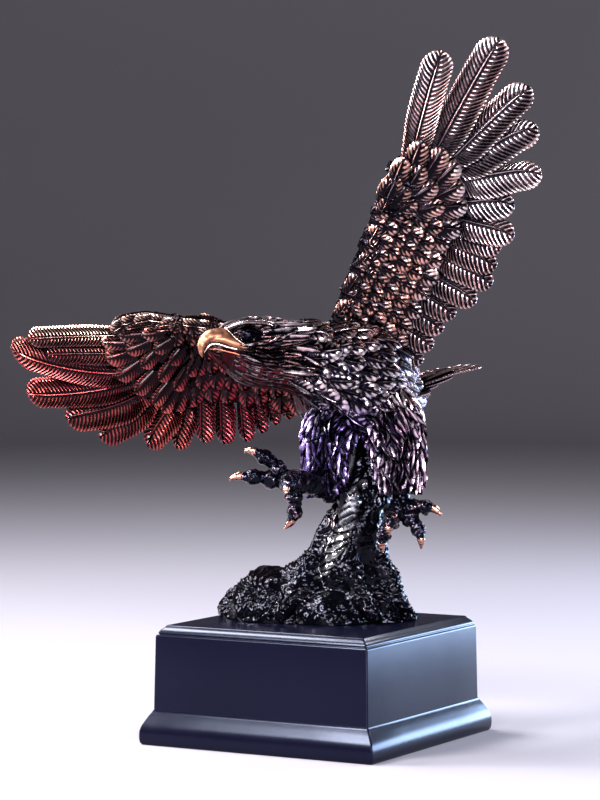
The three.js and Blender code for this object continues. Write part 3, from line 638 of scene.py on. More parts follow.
# lower jaw
tube(body, [on_head(-12, -8.4), on_head(-2, -7.6), on_head(6, -6.2), on_head(11.0, -3.6), on_head(13.2, -2.6)], [(8.6, 9.6), (6.8, 7.4), (4.3, 4.9), (1.9, 2.4), (0.4, 0.6)], 24, 24, cav=2.0)
for k, e in zip((1, -1), EYES):
    ball(eyes, e - SIDE * k * 1.3, 2.7, 28, cav=0.4)
    # lids
    for z0, z1, r0 in ((1.4, 2.6, 0.6), (-1.4, -2.5, 0.45)):
        tube(body, [e + F * 4.8 - SIDE * k * 1.4, e + F * 2.4 + [0, 0, z0 * 1.25] + SIDE * k * 0.1,
                    e - F * 0.4 + [0, 0, z1] + SIDE * k * 0.4, e - F * 3.0 + [0, 0, z0 * 1.1] + SIDE * k * 0.3, e - F * 5.4 + SIDE * k * 0.2],
             [0.2, r0 * 0.8, r0 * 0.8, r0 * 0.8, 0.2], 20, 8, cav=0.34)
    # heavy brow
    tube(body, [on_head(4.6, 9.2, k * 4.6), on_head(1.5, 10.8, k * 6.6), on_head(-3, 12.2, k * 8.2), on_head(-8.5, 12.4, k * 9.3), on_head(-14.4, 11.9, k * 10.0), on_head(-21, 10.2, k * 10.8)],
         [(0.3, 0.7), (0.7, 1.4), (1.0, 2.0), (1.1, 2.3), (0.9, 2.0), (0.3, 0.7)], 30, 12, cav=0.7)
    # pebbled skin in the hollow around the eye
    for j in range(46):
        df, dz = rng.uniform(-8.5, 9.5), rng.uniform(-4.6, 4.6)
        if math.hypot((df - 1.0) / 9.4, dz / 4.9) > 1 or math.hypot(df, dz) < 3.6:
            continue
        want = e + F * df + np.array([0, 0, dz])
        D = trunk_skin.P - want
        side = (D @ SIDE) * k
        c = ((D @ F) ** 2 + D[..., 2] ** 2) + np.where(side < -6, 1e6, 0)
        i0, j0 = np.unravel_index(np.argmin(c), c.shape)
        q = trunk_skin.P[i0, j0] * 1.0
        q = q + F * (want - q).dot(F) + np.array([0, 0, want[2] - q[2]])
        ball(body, q, np.array([0.62, 0.62, 0.5]) * rng.uniform(0.7, 1.25), 8, cav=rng.uniform(0.5, 1.3))
# fine short feathers on the crown
for j in range(90):
    side_k = rng.uniform(-1, 1)
    f = rng.uniform(-15, 0.5)
    phi = math.pi / 2 - side_k * 0.8
    s0 = 4.0 + (-f) * 0.95
    feather(body, trunk_skin.patch(phi, s0), s0, 0, rng.uniform(-10, 10), 7.5, 2.4, -0.4, 0.9, curve=rng.uniform(-10, 10), thick=1.0, pitch=4, relief=0.05,
            shaft=0.5, camber=0.7, base=0.8, tip=1.8, cols=V_LOW, steps=2, both=False, point=0.5, groove=0.1)

# ---------------------------------------------------------------- thighs
THIGHS = [([(13, -2, 184, 16, 15.5), (6.2, -6, 168, 14.2, 13.2), (3.6, -9, 152, 11.8, 10.6), (4.6, -11, 133, 8.2, 7.4)]),
          ([(33, -4, 184, 15.5, 15.5), (41.4, -7, 168, 14.4, 14.4), (44.2, -9, 152, 12.6, 12.6), (45, -10, 134, 9.2, 9.2)])]
legs, feet, claws = Heap(), Heap(), Heap()
for pts in THIGHS:
    sk = Skin(pts, ns=50, na=60, up=(0, 1, 0), blur=1)
    sk.mesh(legs)
    s, row = 2.0, 0
    while s < sk.ln - 4:
        i = int(s / sk.ln * 49)
        rr = sk.R[i].mean()
        n = max(9, int(2 * np.pi * rr / 4.0))
        for j in range(n):
            phi = (j + 0.5 * (row % 2)) / n * 2 * np.pi + rng.uniform(-0.06, 0.06)
            s1 = s + rng.uniform(-2, 2)
            LL = 12.5 * (1 + rng.uniform(-0.25, 0.35))
            LL = min(LL, sk.ln + 4 + rng.uniform(-2, 2) - s1)
            feather(legs, sk.patch(phi, s1), s1 - 2, 0, rng.uniform(-17, 17), LL, 3.9 * (1 + rng.uniform(-0.25, 0.35)), -1.2, 1.6 + rng.uniform(-0.8, 1.0),
                    curve=rng.uniform(-28, 28), roll=rng.uniform(-0.7, 0.7), thick=1.4, pitch=4, relief=0.1, shaft=0.6, camber=1.0, base=0.75, tip=2.2, cols=V_LOW,
                    steps=2, both=False, point=0.7, groove=0.12, shade=0.3)
        s += 4.7
        row += 1
tube(legs, [(46, 6, 188), (53.5, 3, 180), (58, 2, 165)], [4, 3.4, 0.8], 16, 10, cav=0.85)

# ---------------------------------------------------------------- feet
def toe_path(palm, plan, rise, curl, length, n=7):
    a = math.radians(plan)
    h = np.array([math.cos(a), math.sin(a), 0.0])
    pts = [np.asarray(palm, float)]
    for i in range(1, n + 1):
        u = (i - 0.5) / n
        e = math.radians(rise - curl * u * u * 1.3)
        pts.append(pts[-1] + h * math.cos(e) * length / n + np.array([0, 0, math.sin(e) * length / n]))
    return pts


def make_foot(foot):
    palm = np.asarray(foot["palm"], float)
    lumpy = lambda D: 1 + 0.06 * np.sin(D[..., 0] * 9) * np.sin(D[..., 1] * 8 + 1) * np.sin(D[..., 2] * 7)
    ball(feet, palm, (foot["r"], foot["r"], foot["r"] * 0.85), 28, cav=0.5, shape=lumpy)
    q = np.asarray(foot["ankle"], float)
    mid = q * 0.5 + palm * 0.5 + [0, 0, 2]

    def scute(U, A, ln):
        ph = (U * ln / 2.4 + 0.12 * np.cos(A)) % 1.0
        k = 1 + 0.07 * (1 - ph) - 0.05 * (ph > 0.85)
        return k, np.where(ph > 0.8, 0.05, 0.75)
    tube(feet, [q, mid, palm], [foot["shin"] + 1, foot["shin"], foot["shin"] + 0.6], 24, 20, shape=scute)
    for plan, rise, curl, length in foot["toes"]:
        pts = toe_path(palm, plan, rise, curl, length)
        h = np.array([math.cos(math.radians(plan)), math.sin(math.radians(plan)), 0.0])
        # scaly toe with three swollen joints
        r0 = 4.5

        def toe_shape(U, A, ln):
            ph = (U * ln / 1.9) % 1.0
            knuckle = 1 + 0.13 * np.cos(U * 2 * np.pi * 2.6)
            up = np.sin(A) > -0.2
            ring = np.where(up, 0.10 * (1 - ph) - 0.06 * (ph > 0.8), 0.0)
            pad = np.where(~up, 0.10 * np.cos(U * 2 * np.pi * 2.6), 0)
            return knuckle + ring + pad, np.where(up & (ph > 0.75), 0.02, 0.78)
        tube(feet, pts[:7], [r0, r0 * 0.98, r0 * 0.96, r0 * 0.9, r0 * 0.8, r0 * 0.58], 38, 16, shape=toe_shape)
        # claw
        d = unit(pts[7] - pts[6])
        hook = np.array([0, 0, -1.0]) if d[2] > -0.7 else -0.35 * h
        claw = [pts[5] * 0.5 + pts[6] * 0.5, pts[6] * 0.8 + pts[7] * 0.2, pts[6] * 0.3 + pts[7] * 0.7 + hook * 0.5, pts[7] + d * 0.8 + hook * 1.5, pts[7] + d * 1.3 + hook * 3.2]
        tube(claws, claw, [(2.0, 2.0), (2.4, 2.1), (1.9, 1.6), (1.1, 0.95), (0.12, 0.12)], 28, 16, cav=0.9)


RIGHT_FOOT = dict(ankle=(8, -9, 136), palm=(-15.5, -33, 142), r=7.2, shin=6.2,
                  toes=[(188, 50, 26, 30), (195, 11, 8, 32), (0, -72, 50, 25), (264, 12, 60, 20)])
LEFT_FOOT = dict(ankle=(45, -10, 140), palm=(45, -14, 126), r=7.6, shin=4.8,
                 toes=[(-24, 12, 26, 22), (-52, -26, 52, 27), (-118, -8, 70, 22), (-152, -42, 44, 26)])
make_foot(RIGHT_FOOT)
make_foot(LEFT_FOOT)

# ---------------------------------------------------------------- tail
tail = Heap()
TAIL = dict(root=(44, 22, 188.5), dir=(0.555, 0.825, 0.13), across=(-0.83, 0.47, -0.30), n=6, spread=34, len=62, width=12.5, arch=0.006)
TD = unit(TAIL["dir"])
TA = np.asarray(TAIL["across"], float)
TA = unit(TA - TD * (TA @ TD))
TN = unit(np.cross(TD, TA))
if TN[2] < 0:
    TN = -TN


def tail_at(s, t, n):
    s, t, n = np.broadcast_arrays(np.asarray(s, float), t, n)
    h = n + 3 * np.minimum(1, s / 30) - TAIL["arch"] * t * t
    return np.asarray(TAIL["root"], float) + s[..., None] * TD + t[..., None] * TA + h[..., None] * TN


for i in range(7):
    u = i / 6 - 0.5
    feather(tail, tail_at, 0, u * 16, u * 26, 62 * (1 - 0.35 * u * u), 12.5, 1.2 - abs(u) * 3.2, 0.6 - abs(u) * 2.4, roll=0.5, thick=1.9,
            pitch=2.3, relief=0.28, shaft=0.6, camber=0.4, base=0.6, tip=1.0)
rr = np.random.default_rng(11)
for face in (1, -1):
    for k, (s0, L, W) in enumerate([(4, 30, 9), (-2, 24, 8.4), (-7, 18, 7.6)]):
        for j in range(6):
            u = (j + 0.5 * (k % 2)) / 5 - 0.5
            feather(tail, tail_at, s0, u * 20, u * 24 + rr.uniform(-4, 4), L, W, face * (1.6 + k * 1.2), face * (2.4 + k * 1.1), roll=0.3 * face, thick=1.2,
                    pitch=2.2, relief=0.22, shaft=0.4, camber=0.8, base=0.7, tip=1.1, cols=V_MID, steps=2, both=False, droop=0.5 * face, face=face)
su = np.linspace(-8, 26, 16)
aa = np.linspace(0, 2 * np.pi, 28, endpoint=False)
SU, AAg = np.meshgrid(su, aa, indexing="ij")
hh = lerp(7.0, 1.4, (SU + 8) / 34)
tail.add(*rings(tail_at(SU, np.cos(AAg) * 13, np.sin(AAg) * hh), np.full(SU.shape, 0.15)))

# ---------------------------------------------------------------- stump, mound and roots
ground = Heap()
TRUNK = [(18, 5, 58, 33, 28), (17.5, 4, 76, 26, 24), (16.5, 3, 90, 22.5, 20), (17.5, 2, 102, 20.5, 17.5), (21, 1, 113, 17.5, 15.5),
         (24.5, 1, 124, 15, 13), (27, 3, 136, 11.5, 11), (30, 5, 152, 10.5, 10), (32, 6, 172, 12, 12)]
MOUND = [(1, 15, 62, 53, 35, 17), (-25, 6, 68, 23, 22, 26), (-45, 17, 64, 10, 11, 17), (8, -10, 64, 22, 18, 20), (-8, 2, 76, 20, 18, 21)]
ROOTS = [(196, 36, 36, 6), (262, 30, 36, 5.5), (318, 22, 40, 5.5), (40, 17, 40, 5.5), (110, 34, 38, 6)]
tube(ground, [t[:3] for t in TRUNK], [(t[4], t[3]) for t in TRUNK], 40, 48, up=(0, 1, 0),
     shape=lambda U, A, ln: (1 + 0.07 * np.sin(4 * A + 5 * U) + 0.05 * np.sin(9 * A - 7 * U), 0.5 + 0 * U))
for (x, y, z, rx, ry, rz) in MOUND:
    ball(ground, (x, y, z), (rx, ry, rz), 48, cav=0.5)
for (heading, reach, drop, r) in ROOTS:
    pts = []
    for i in range(6):
        u = i / 5
        a = math.radians(heading + 26 * u)
        d = lerp(12, reach + 10, u)
        pts.append((18 + math.cos(a) * d * 1.15, 5 + math.sin(a) * d * 0.85, 106 - drop * u**0.8 + 3 * math.sin(u * 6)))
    tube(ground, pts, [r * 0.9, r * 1.15, r, r * 0.6], 30, 20)
tube(ground, [(20, -4, 118), (17, -12, 128), (15, -16, 138.5)], [8.5, 7.4, 5.6], 16, 20, up=(0, 1, 0))


# ---------------------------------------------------------------- heaps to meshes
def edges_ok(F):
    e = np.concatenate([F[:, [0, 1]], F[:, [1, 2]], F[:, [2, 0]]])
    n = int(F.max()) + 1
    fwd = np.sort(e[:, 0].astype(np.int64) * n + e[:, 1])
    rev = np.sort(e[:, 1].astype(np.int64) * n + e[:, 0])
    return len(fwd) == len(np.unique(fwd)) and np.array_equal(fwd, rev)


def to_mesh(name, V, F):
    me = bpy.data.meshes.new(name)
    me.from_pydata(np.asarray(V).tolist(), [], np.asarray(F).tolist())
    me.update()
    return me


def joined(items):
    V, F, A, o = [], [], [], 0
    for v, f, a in items:
        V.append(v); F.append(f + o); A.append(a); o += len(v)
    return np.concatenate(V), np.concatenate(F), np.concatenate(A)


def read_mesh(me):
    me.calc_loop_triangles()
    V = np.empty(len(me.vertices) * 3); me.vertices.foreach_get("co", V)
    F = np.empty(len(me.loop_triangles) * 3, dtype=np.int64); me.loop_triangles.foreach_get("vertices", F)
    return V.reshape(-1, 3), F.reshape(-1, 3)


def groups_of(items, cell=1.8):
    """sorts shells into groups whose members don't touch"""
    owners, groups = [], []
    for it in items:
        v, f, _ = it
        c = v[f].mean(1)
        pts = np.concatenate([v, c])
        q = np.unique(np.floor(pts / cell).astype(np.int64), axis=0)
        grown = set()
        for dx in (-1, 0, 1):
            for dy in (-1, 0, 1):
                for dz in (-1, 0, 1):
                    grown.update(map(tuple, (q + [dx, dy, dz]).tolist()))
        small = set(map(tuple, q.tolist()))
        for g in range(len(groups)):
            if not (grown & owners[g]):
                groups[g].append(it); owners[g] |= small
                break
        else:
            groups.append([it]); owners.append(set(small))
    return groups


def union(name, heap):
    """one solid from a heap of closed shells"""
    bad = [i for i, it in enumerate(heap.items) if not edges_ok(it[1])]
    if bad:
        print(name, "open shells:", len(bad))
    items = [it for it in heap.items if edges_ok(it[1])]
    allV, allF, allA = joined(items)
    groups = sorted(groups_of(items), key=lambda g: -sum(len(i[1]) for i in g))
    base = None
    for g in groups:
        V, F, _ = joined(g)
        ob = bpy.data.objects.new("tmp_" + name, to_mesh("tmp", V, F))
        bpy.context.scene.collection.objects.link(ob)
        if base is None:
            base = ob
            continue
        before = len(base.data.polygons)
        m = base.modifiers.new("u", "BOOLEAN")
        m.operation, m.object, m.solver = "UNION", ob, "MANIFOLD"
        dg = bpy.context.evaluated_depsgraph_get()
        me = bpy.data.meshes.new_from_object(base.evaluated_get(dg))
        base.modifiers.clear()
        if len(me.polygons) > 0.3 * before:
            base.data = me
        else:
            print(name, "a union failed and was left out", before, len(me.polygons))
        bpy.data.objects.remove(ob)
    V, F = read_mesh(base.data)
    bpy.data.objects.remove(base)
    kd = kdtree.KDTree(len(allV))
    for i, p in enumerate(allV.tolist()):
        kd.insert(p, i)
    kd.balance()
    A = np.empty(len(V))
    for i, p in enumerate(V.tolist()):
        _, j, d = kd.find(p)
        A[i] = allA[j] if d < 0.02 else 0.0
    print(name, "groups", len(groups), "shells", len(items), "faces", len(allF), "->", len(F))
    return V, F, A


def cast(name, heap, voxel, smooth=4, lump=0.0, size=2.4):
    """one soft, continuous surface over overlapping shells"""
    V0, F0, A0 = joined(heap.items)
    ob = bpy.data.objects.new("tmp_" + name, to_mesh("tmp", V0, F0))
    bpy.context.scene.collection.objects.link(ob)
    m = ob.modifiers.new("r", "REMESH")
    m.mode, m.voxel_size, m.adaptivity = "VOXEL", voxel * 1.0, 0.0
    sm = ob.modifiers.new("s", "SMOOTH")
    sm.iterations, sm.factor = smooth, 0.5
    dg = bpy.context.evaluated_depsgraph_get()
    me = bpy.data.meshes.new_from_object(ob.evaluated_get(dg))
    bpy.data.objects.remove(ob)
    V, F = read_mesh(me)
    N = np.empty(len(me.vertices) * 3)
    me.vertices.foreach_get("normal", N)
    N = N.reshape(-1, 3)
    kd = kdtree.KDTree(len(V0))
    for i, q in enumerate(V0.tolist()):
        kd.insert(q, i)
    kd.balance()
    A = np.array([A0[kd.find(q)[1]] for q in V.tolist()])
    if lump:
        a, b = noise(V, size, 21), noise(V, size * 0.45, 22)
        V = V + N * (lump * a + 0.45 * lump * b)[:, None]
        A = np.clip(A * (0.75 + 0.45 * a + 0.25 * b), 0, 1)
    print(name, "cast", len(F))
    return V, F, A


def piece(name, V, F, A, material, tint=None, sharp=48):
    me = to_mesh(name, to_row(V), F)
    me.polygons.foreach_set("use_smooth", np.ones(len(me.polygons), dtype=bool))
    me.set_sharp_from_angle(angle=math.radians(sharp))
    col = me.color_attributes.new("relief", "FLOAT_COLOR", "POINT")
    t = np.zeros(len(V)) if tint is None else tint(V)
    # the third channel flags the throat, which is coloured in painted shade
    throat_shade = (A > 1.5).astype(float)
    rgba = np.stack([np.where(A > 1.5, (A - 1.55) / 0.9, A).clip(0, 1), t, throat_shade, np.ones(len(V))], 1).astype(np.float32)
    col.data.foreach_set("color", rgba.reshape(-1))
    ob = bpy.data.objects.new(name, me)
    bpy.context.scene.collection.objects.link(ob)
    me.materials.append(material)
    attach(ob, "root")
    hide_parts("eagle_casting")
    return ob


# ---------------------------------------------------------------- materials
def new_material(name):
    m = bpy.data.materials.new(name)
    m.use_nodes = True
    nt = m.node_tree
    for n in list(nt.nodes):
        nt.nodes.remove(n)
    out = nt.nodes.new("ShaderNodeOutputMaterial")
    sh = nt.nodes.new("ShaderNodeBsdfPrincipled")
    nt.links.new(sh.outputs["BSDF"], out.inputs["Surface"])
    return m, nt, sh


def node(nt, kind, **kw):
    n = nt.nodes.new(kind)
    for k, v in kw.items():
        setattr(n, k, v)
    return n


def maths(nt, op, a, b=None, clamp=False):
    n = node(nt, "ShaderNodeMath", operation=op, use_clamp=clamp)
    for i, v in enumerate((a, b)):
        if v is None:
            continue
        if isinstance(v, (int, float)):
            n.inputs[i].default_value = v
        else:
            nt.links.new(v, n.inputs[i])
    return n.outputs[0]


def mix_col(nt, fac, a, b):
    n = node(nt, "ShaderNodeMix", data_type="RGBA")
    nt.links.new(fac, n.inputs["Factor"])
    for key, v in (("A", a), ("B", b)):
        s = [i for i in n.inputs if i.name == key and i.type == "RGBA"][0]
        if isinstance(v, tuple):
            s.default_value = (*v, 1)
        else:
            nt.links.new(v, s)
    return [o for o in n.outputs if o.type == "RGBA"][0]


def mix_val(nt, fac, a, b):
    n = node(nt, "ShaderNodeMapRange")
    nt.links.new(fac, n.inputs["Value"])
    n.inputs["To Min"].default_value = a
    n.inputs["To Max"].default_value = b
    return n.outputs[0]


def noise_node(nt, co, scale, detail=3, rough=0.55):
    n = node(nt, "ShaderNodeTexNoise")
    n.inputs["Scale"].default_value = scale
    n.inputs["Detail"].default_value = detail
    n.inputs["Roughness"].default_value = rough
    nt.links.new(co, n.inputs["Vector"])
    return n.outputs["Fac"]


def bronze(name, bright, warm, dark, lo=0.30, hi=0.92, gloss=(0.46, 0.27), ao=0.007, ao_power=1.4, bump=0.10, other=None, shaded_throat=None, lacquer=None, coat=0.10):
    """antiqued plating: near-black patina in the grooves, rubbed bright on the ridges, and painted shade where ambient
    occlusion darkens the hollows
    """
    m, nt, sh = new_material(name)
    co = node(nt, "ShaderNodeTexCoord").outputs["Object"]
    att = node(nt, "ShaderNodeAttribute", attribute_name="relief")
    sep = node(nt, "ShaderNodeSeparateColor")
    nt.links.new(att.outputs["Color"], sep.inputs[0])
    cav = sep.outputs[0]
    big = noise_node(nt, co, 45, 3)
    fine = noise_node(nt, co, 520, 4, 0.65)
    aon = node(nt, "ShaderNodeAmbientOcclusion", samples=6, only_local=False)
    aon.inputs["Distance"].default_value = ao
    occ = maths(nt, "POWER", aon.outputs["AO"], ao_power)
    # wear mask with painted shade: raised relief and random noise, darkened by ambient occlusion where shade falls in
    # the hollows
    a = maths(nt, "ADD", cav, maths(nt, "MULTIPLY", maths(nt, "SUBTRACT", fine, 0.5), 0.5))
    a = maths(nt, "ADD", a, maths(nt, "MULTIPLY", maths(nt, "SUBTRACT", big, 0.5), 0.6))
    a = maths(nt, "MULTIPLY", a, occ)
    mr = node(nt, "ShaderNodeMapRange", interpolation_type="SMOOTHSTEP")
    nt.links.new(a, mr.inputs["Value"])
    mr.inputs["From Min"].default_value = lo
    mr.inputs["From Max"].default_value = hi
    wear_and_shade = mr.outputs[0]
    tone = noise_node(nt, co, 28, 2)
    tr = node(nt, "ShaderNodeMapRange", interpolation_type="SMOOTHSTEP")
    nt.links.new(tone, tr.inputs["Value"])
    tr.inputs["From Min"].default_value = 0.36
    tr.inputs["From Max"].default_value = 0.66
    metal = mix_col(nt, tr.outputs[0], warm, bright)
    if other is not None:
        metal = mix_col(nt, sep.outputs[1], metal, other)
    base = mix_col(nt, wear_and_shade, dark, metal)
    # throat: a dark red that paints the shade under the beak, with a red cast
    if shaded_throat is not None:
        throat_shade = mix_col(nt, wear_and_shade, tuple(c * 0.16 for c in shaded_throat), shaded_throat)
        base = mix_col(nt, sep.outputs[2], base, throat_shade)
    nt.links.new(base, sh.inputs["Base Color"])
    if lacquer is None:
        sh.inputs["Metallic"].default_value = 1.0
    else:
        # the patina is a dark glossy skin here, only the rubbed parts are bare metal
        nt.links.new(mix_val(nt, wear_and_shade, lacquer, 1.0), sh.inputs["Metallic"])
        sh.inputs["Specular IOR Level"].default_value = 0.5
    # clear lacquer over the patina
    sh.inputs["Coat Weight"].default_value = coat
    sh.inputs["Coat Roughness"].default_value = 0.10
    sh.inputs["Coat IOR"].default_value = 1.5
    r = maths(nt, "ADD", mix_val(nt, wear_and_shade, gloss[0], gloss[1]), maths(nt, "MULTIPLY", maths(nt, "SUBTRACT", fine, 0.5), 0.16))
    if shaded_throat is not None:
        r = maths(nt, "ADD", r, maths(nt, "MULTIPLY", sep.outputs[2], 0.3))
    nt.links.new(r, sh.inputs["Roughness"])
    b = node(nt, "ShaderNodeBump")
    b.inputs["Strength"].default_value = bump
    b.inputs["Distance"].default_value = 0.0004
    nt.links.new(fine, b.inputs["Height"])
    nt.links.new(b.outputs[0], sh.inputs["Normal"])
    return m


def polished(name, bright, warm, rough):
    m, nt, sh = new_material(name)
    co = node(nt, "ShaderNodeTexCoord").outputs["Object"]
    fine = noise_node(nt, co, 420, 4, 0.6)
    big = noise_node(nt, co, 90, 3)
    aon = node(nt, "ShaderNodeAmbientOcclusion", samples=6)
    aon.inputs["Distance"].default_value = 0.004
    att = node(nt, "ShaderNodeAttribute", attribute_name="relief")
    sep = node(nt, "ShaderNodeSeparateColor")
    nt.links.new(att.outputs["Color"], sep.inputs[0])
    metal = mix_col(nt, big, warm, bright)
    # painted shade: ambient occlusion darkens the hollows, scaled by each part's relief value
    occlusion_shade_and_relief = maths(nt, "MULTIPLY", maths(nt, "POWER", aon.outputs["AO"], 1.3), maths(nt, "ADD", sep.outputs[0], 0.15, clamp=True))
    nt.links.new(mix_col(nt, occlusion_shade_and_relief, tuple(c * 0.06 for c in warm), metal), sh.inputs["Base Color"])
    sh.inputs["Metallic"].default_value = 1.0
    nt.links.new(mix_val(nt, fine, rough * 0.7, rough * 1.3), sh.inputs["Roughness"])
    return m


COPPER_LIGHT = bronze("copper_left_wing", (0.95, 0.76, 0.78), (0.80, 0.50, 0.49), (0.003, 0.002, 0.005), lo=0.40, hi=0.96, gloss=(0.30, 0.24), other=(0.84, 0.40, 0.30), ao=0.005, ao_power=1.2)
# right wing: a darker, redder copy of the copper, partly a patina tint and partly painted shade and red light; its pale
# other colour paints light along the leading edge
RED_COPPER_AND_SHADE = bronze("copper_right_wing", (0.62, 0.11, 0.09), (0.33, 0.03, 0.045), (0.004, 0.0008, 0.002), lo=0.38, hi=1.02, gloss=(0.30, 0.24), other=(0.98, 0.62, 0.50), ao=0.005)
# copper_body: its throat colour is a painted dark red shade
COPPER_BODY = bronze("copper_body", (0.95, 0.80, 0.84), (0.84, 0.56, 0.55), (0.003, 0.002, 0.007), lo=0.27, hi=0.84, gloss=(0.28, 0.24), ao=0.0035, ao_power=1.1,
                     other=(0.34, 0.25, 0.60), shaded_throat=(0.045, 0.003, 0.007))
# dark_root: its near-white other colour is a painted highlight, used only along the trunk's strip
DARK_ROOT = bronze("dark_root", (0.50, 0.34, 0.34), (0.20, 0.14, 0.20), (0.003, 0.003, 0.007), lo=0.66, hi=1.25, gloss=(0.13, 0.2), other=(0.92, 0.93, 0.98), lacquer=0.85, coat=0.0)
DARK_FOOT = bronze("dark_foot", (0.80, 0.42, 0.36), (0.50, 0.20, 0.18), (0.003, 0.003, 0.009), lo=0.66, hi=1.2, gloss=(0.13, 0.2), other=(0.34, 0.34, 0.60), ao=0.004, lacquer=0.85, coat=0.0)
COPPER_BEAK = polished("polished_beak", (0.40, 0.185, 0.11), (0.30, 0.125, 0.08), 0.40)
COPPER_EDGE = polished("polished_edge", (0.95, 0.80, 0.74), (0.85, 0.62, 0.52), 0.26)
# jaw rim: a real raised edge, its bright orange-red a painted rim light
JAW_RIM_LIGHT = polished("jaw_rim_painted_light", (0.86, 0.30, 0.17), (0.55, 0.10, 0.07), 0.30)
COPPER_CLAW = polished("polished_claw", (0.58, 0.31, 0.24), (0.36, 0.14, 0.11), 0.24)
DARK_EYE = polished("dark_eye", (0.05, 0.05, 0.09), (0.02, 0.02, 0.03), 0.10)
# lower body and legs: copper_body's violet other colour, stronger towards the bottom, partly a patina tint and partly
# painted violet light
violet_patina_and_light = lambda V: step(196, 168, V[:, 2]) * (1 - 0.6 * step(22, 34, V[:, 0]))


def in_sheet(w, V):
    S = unit(w["span"])
    T = np.asarray(w["chord"], float)
    T = unit(T - S * (T @ S))
    d = V - np.asarray(w["root"], float)
    return d @ S, d @ T


def warm_coverts(V):
    """left wing: the coverts are browner than the long feathers"""
    a, b = in_sheet(LEFT_WING, V)
    lo_, hi_ = read(LEFT_WING["lead"], a), read(LEFT_WING["edge"], a)
    return (1 - step(0.78, 1.0, (b - lo_) / (hi_ - lo_))) * (1 - step(112, 126, a)) * (0.75 + 0.25 * noise(V, 14, 41))


def lit_leading_edge(V):
    """right wing: painted light, paler along the leading edge where the top of the wing catches the light"""
    a, b = in_sheet(RIGHT_WING, V)
    d = b - read(RIGHT_WING["lead"], a) + 3 * noise(V, 16, 42)
    return 0.7 * (1 - step(0, 5, d)) + 0.3 * (1 - step(3, 24, d))


LW = piece("left_wing", *union("left_wing", left), COPPER_LIGHT, tint=warm_coverts)
RW = piece("right_wing", *union("right_wing", right), RED_COPPER_AND_SHADE, tint=lit_leading_edge)
BD = piece("body", *union("body", body), COPPER_BODY, tint=violet_patina_and_light)
LG = piece("legs", *union("legs", legs), COPPER_BODY, tint=violet_patina_and_light)
FT = piece("feet", *cast("feet", feet, 0.5, 2, 0.45, 2.0), DARK_FOOT, tint=lambda V: 0.5 + 0.5 * noise(V, 7, 31), sharp=80)
CL = piece("claws", *union("claws", claws), COPPER_CLAW)
BK = piece("beak", *cast("beak", beak, 0.36, 3), COPPER_BEAK, sharp=80)
RM = piece("beak_edges", *union("rims", rims), COPPER_EDGE)
JW = piece("jaw_edges", *union("jaw", jaw), JAW_RIM_LIGHT)
EY = piece("eyes", *union("eyes", eyes), DARK_EYE)
TL = piece("tail", *union("tail", tail), COPPER_LIGHT)


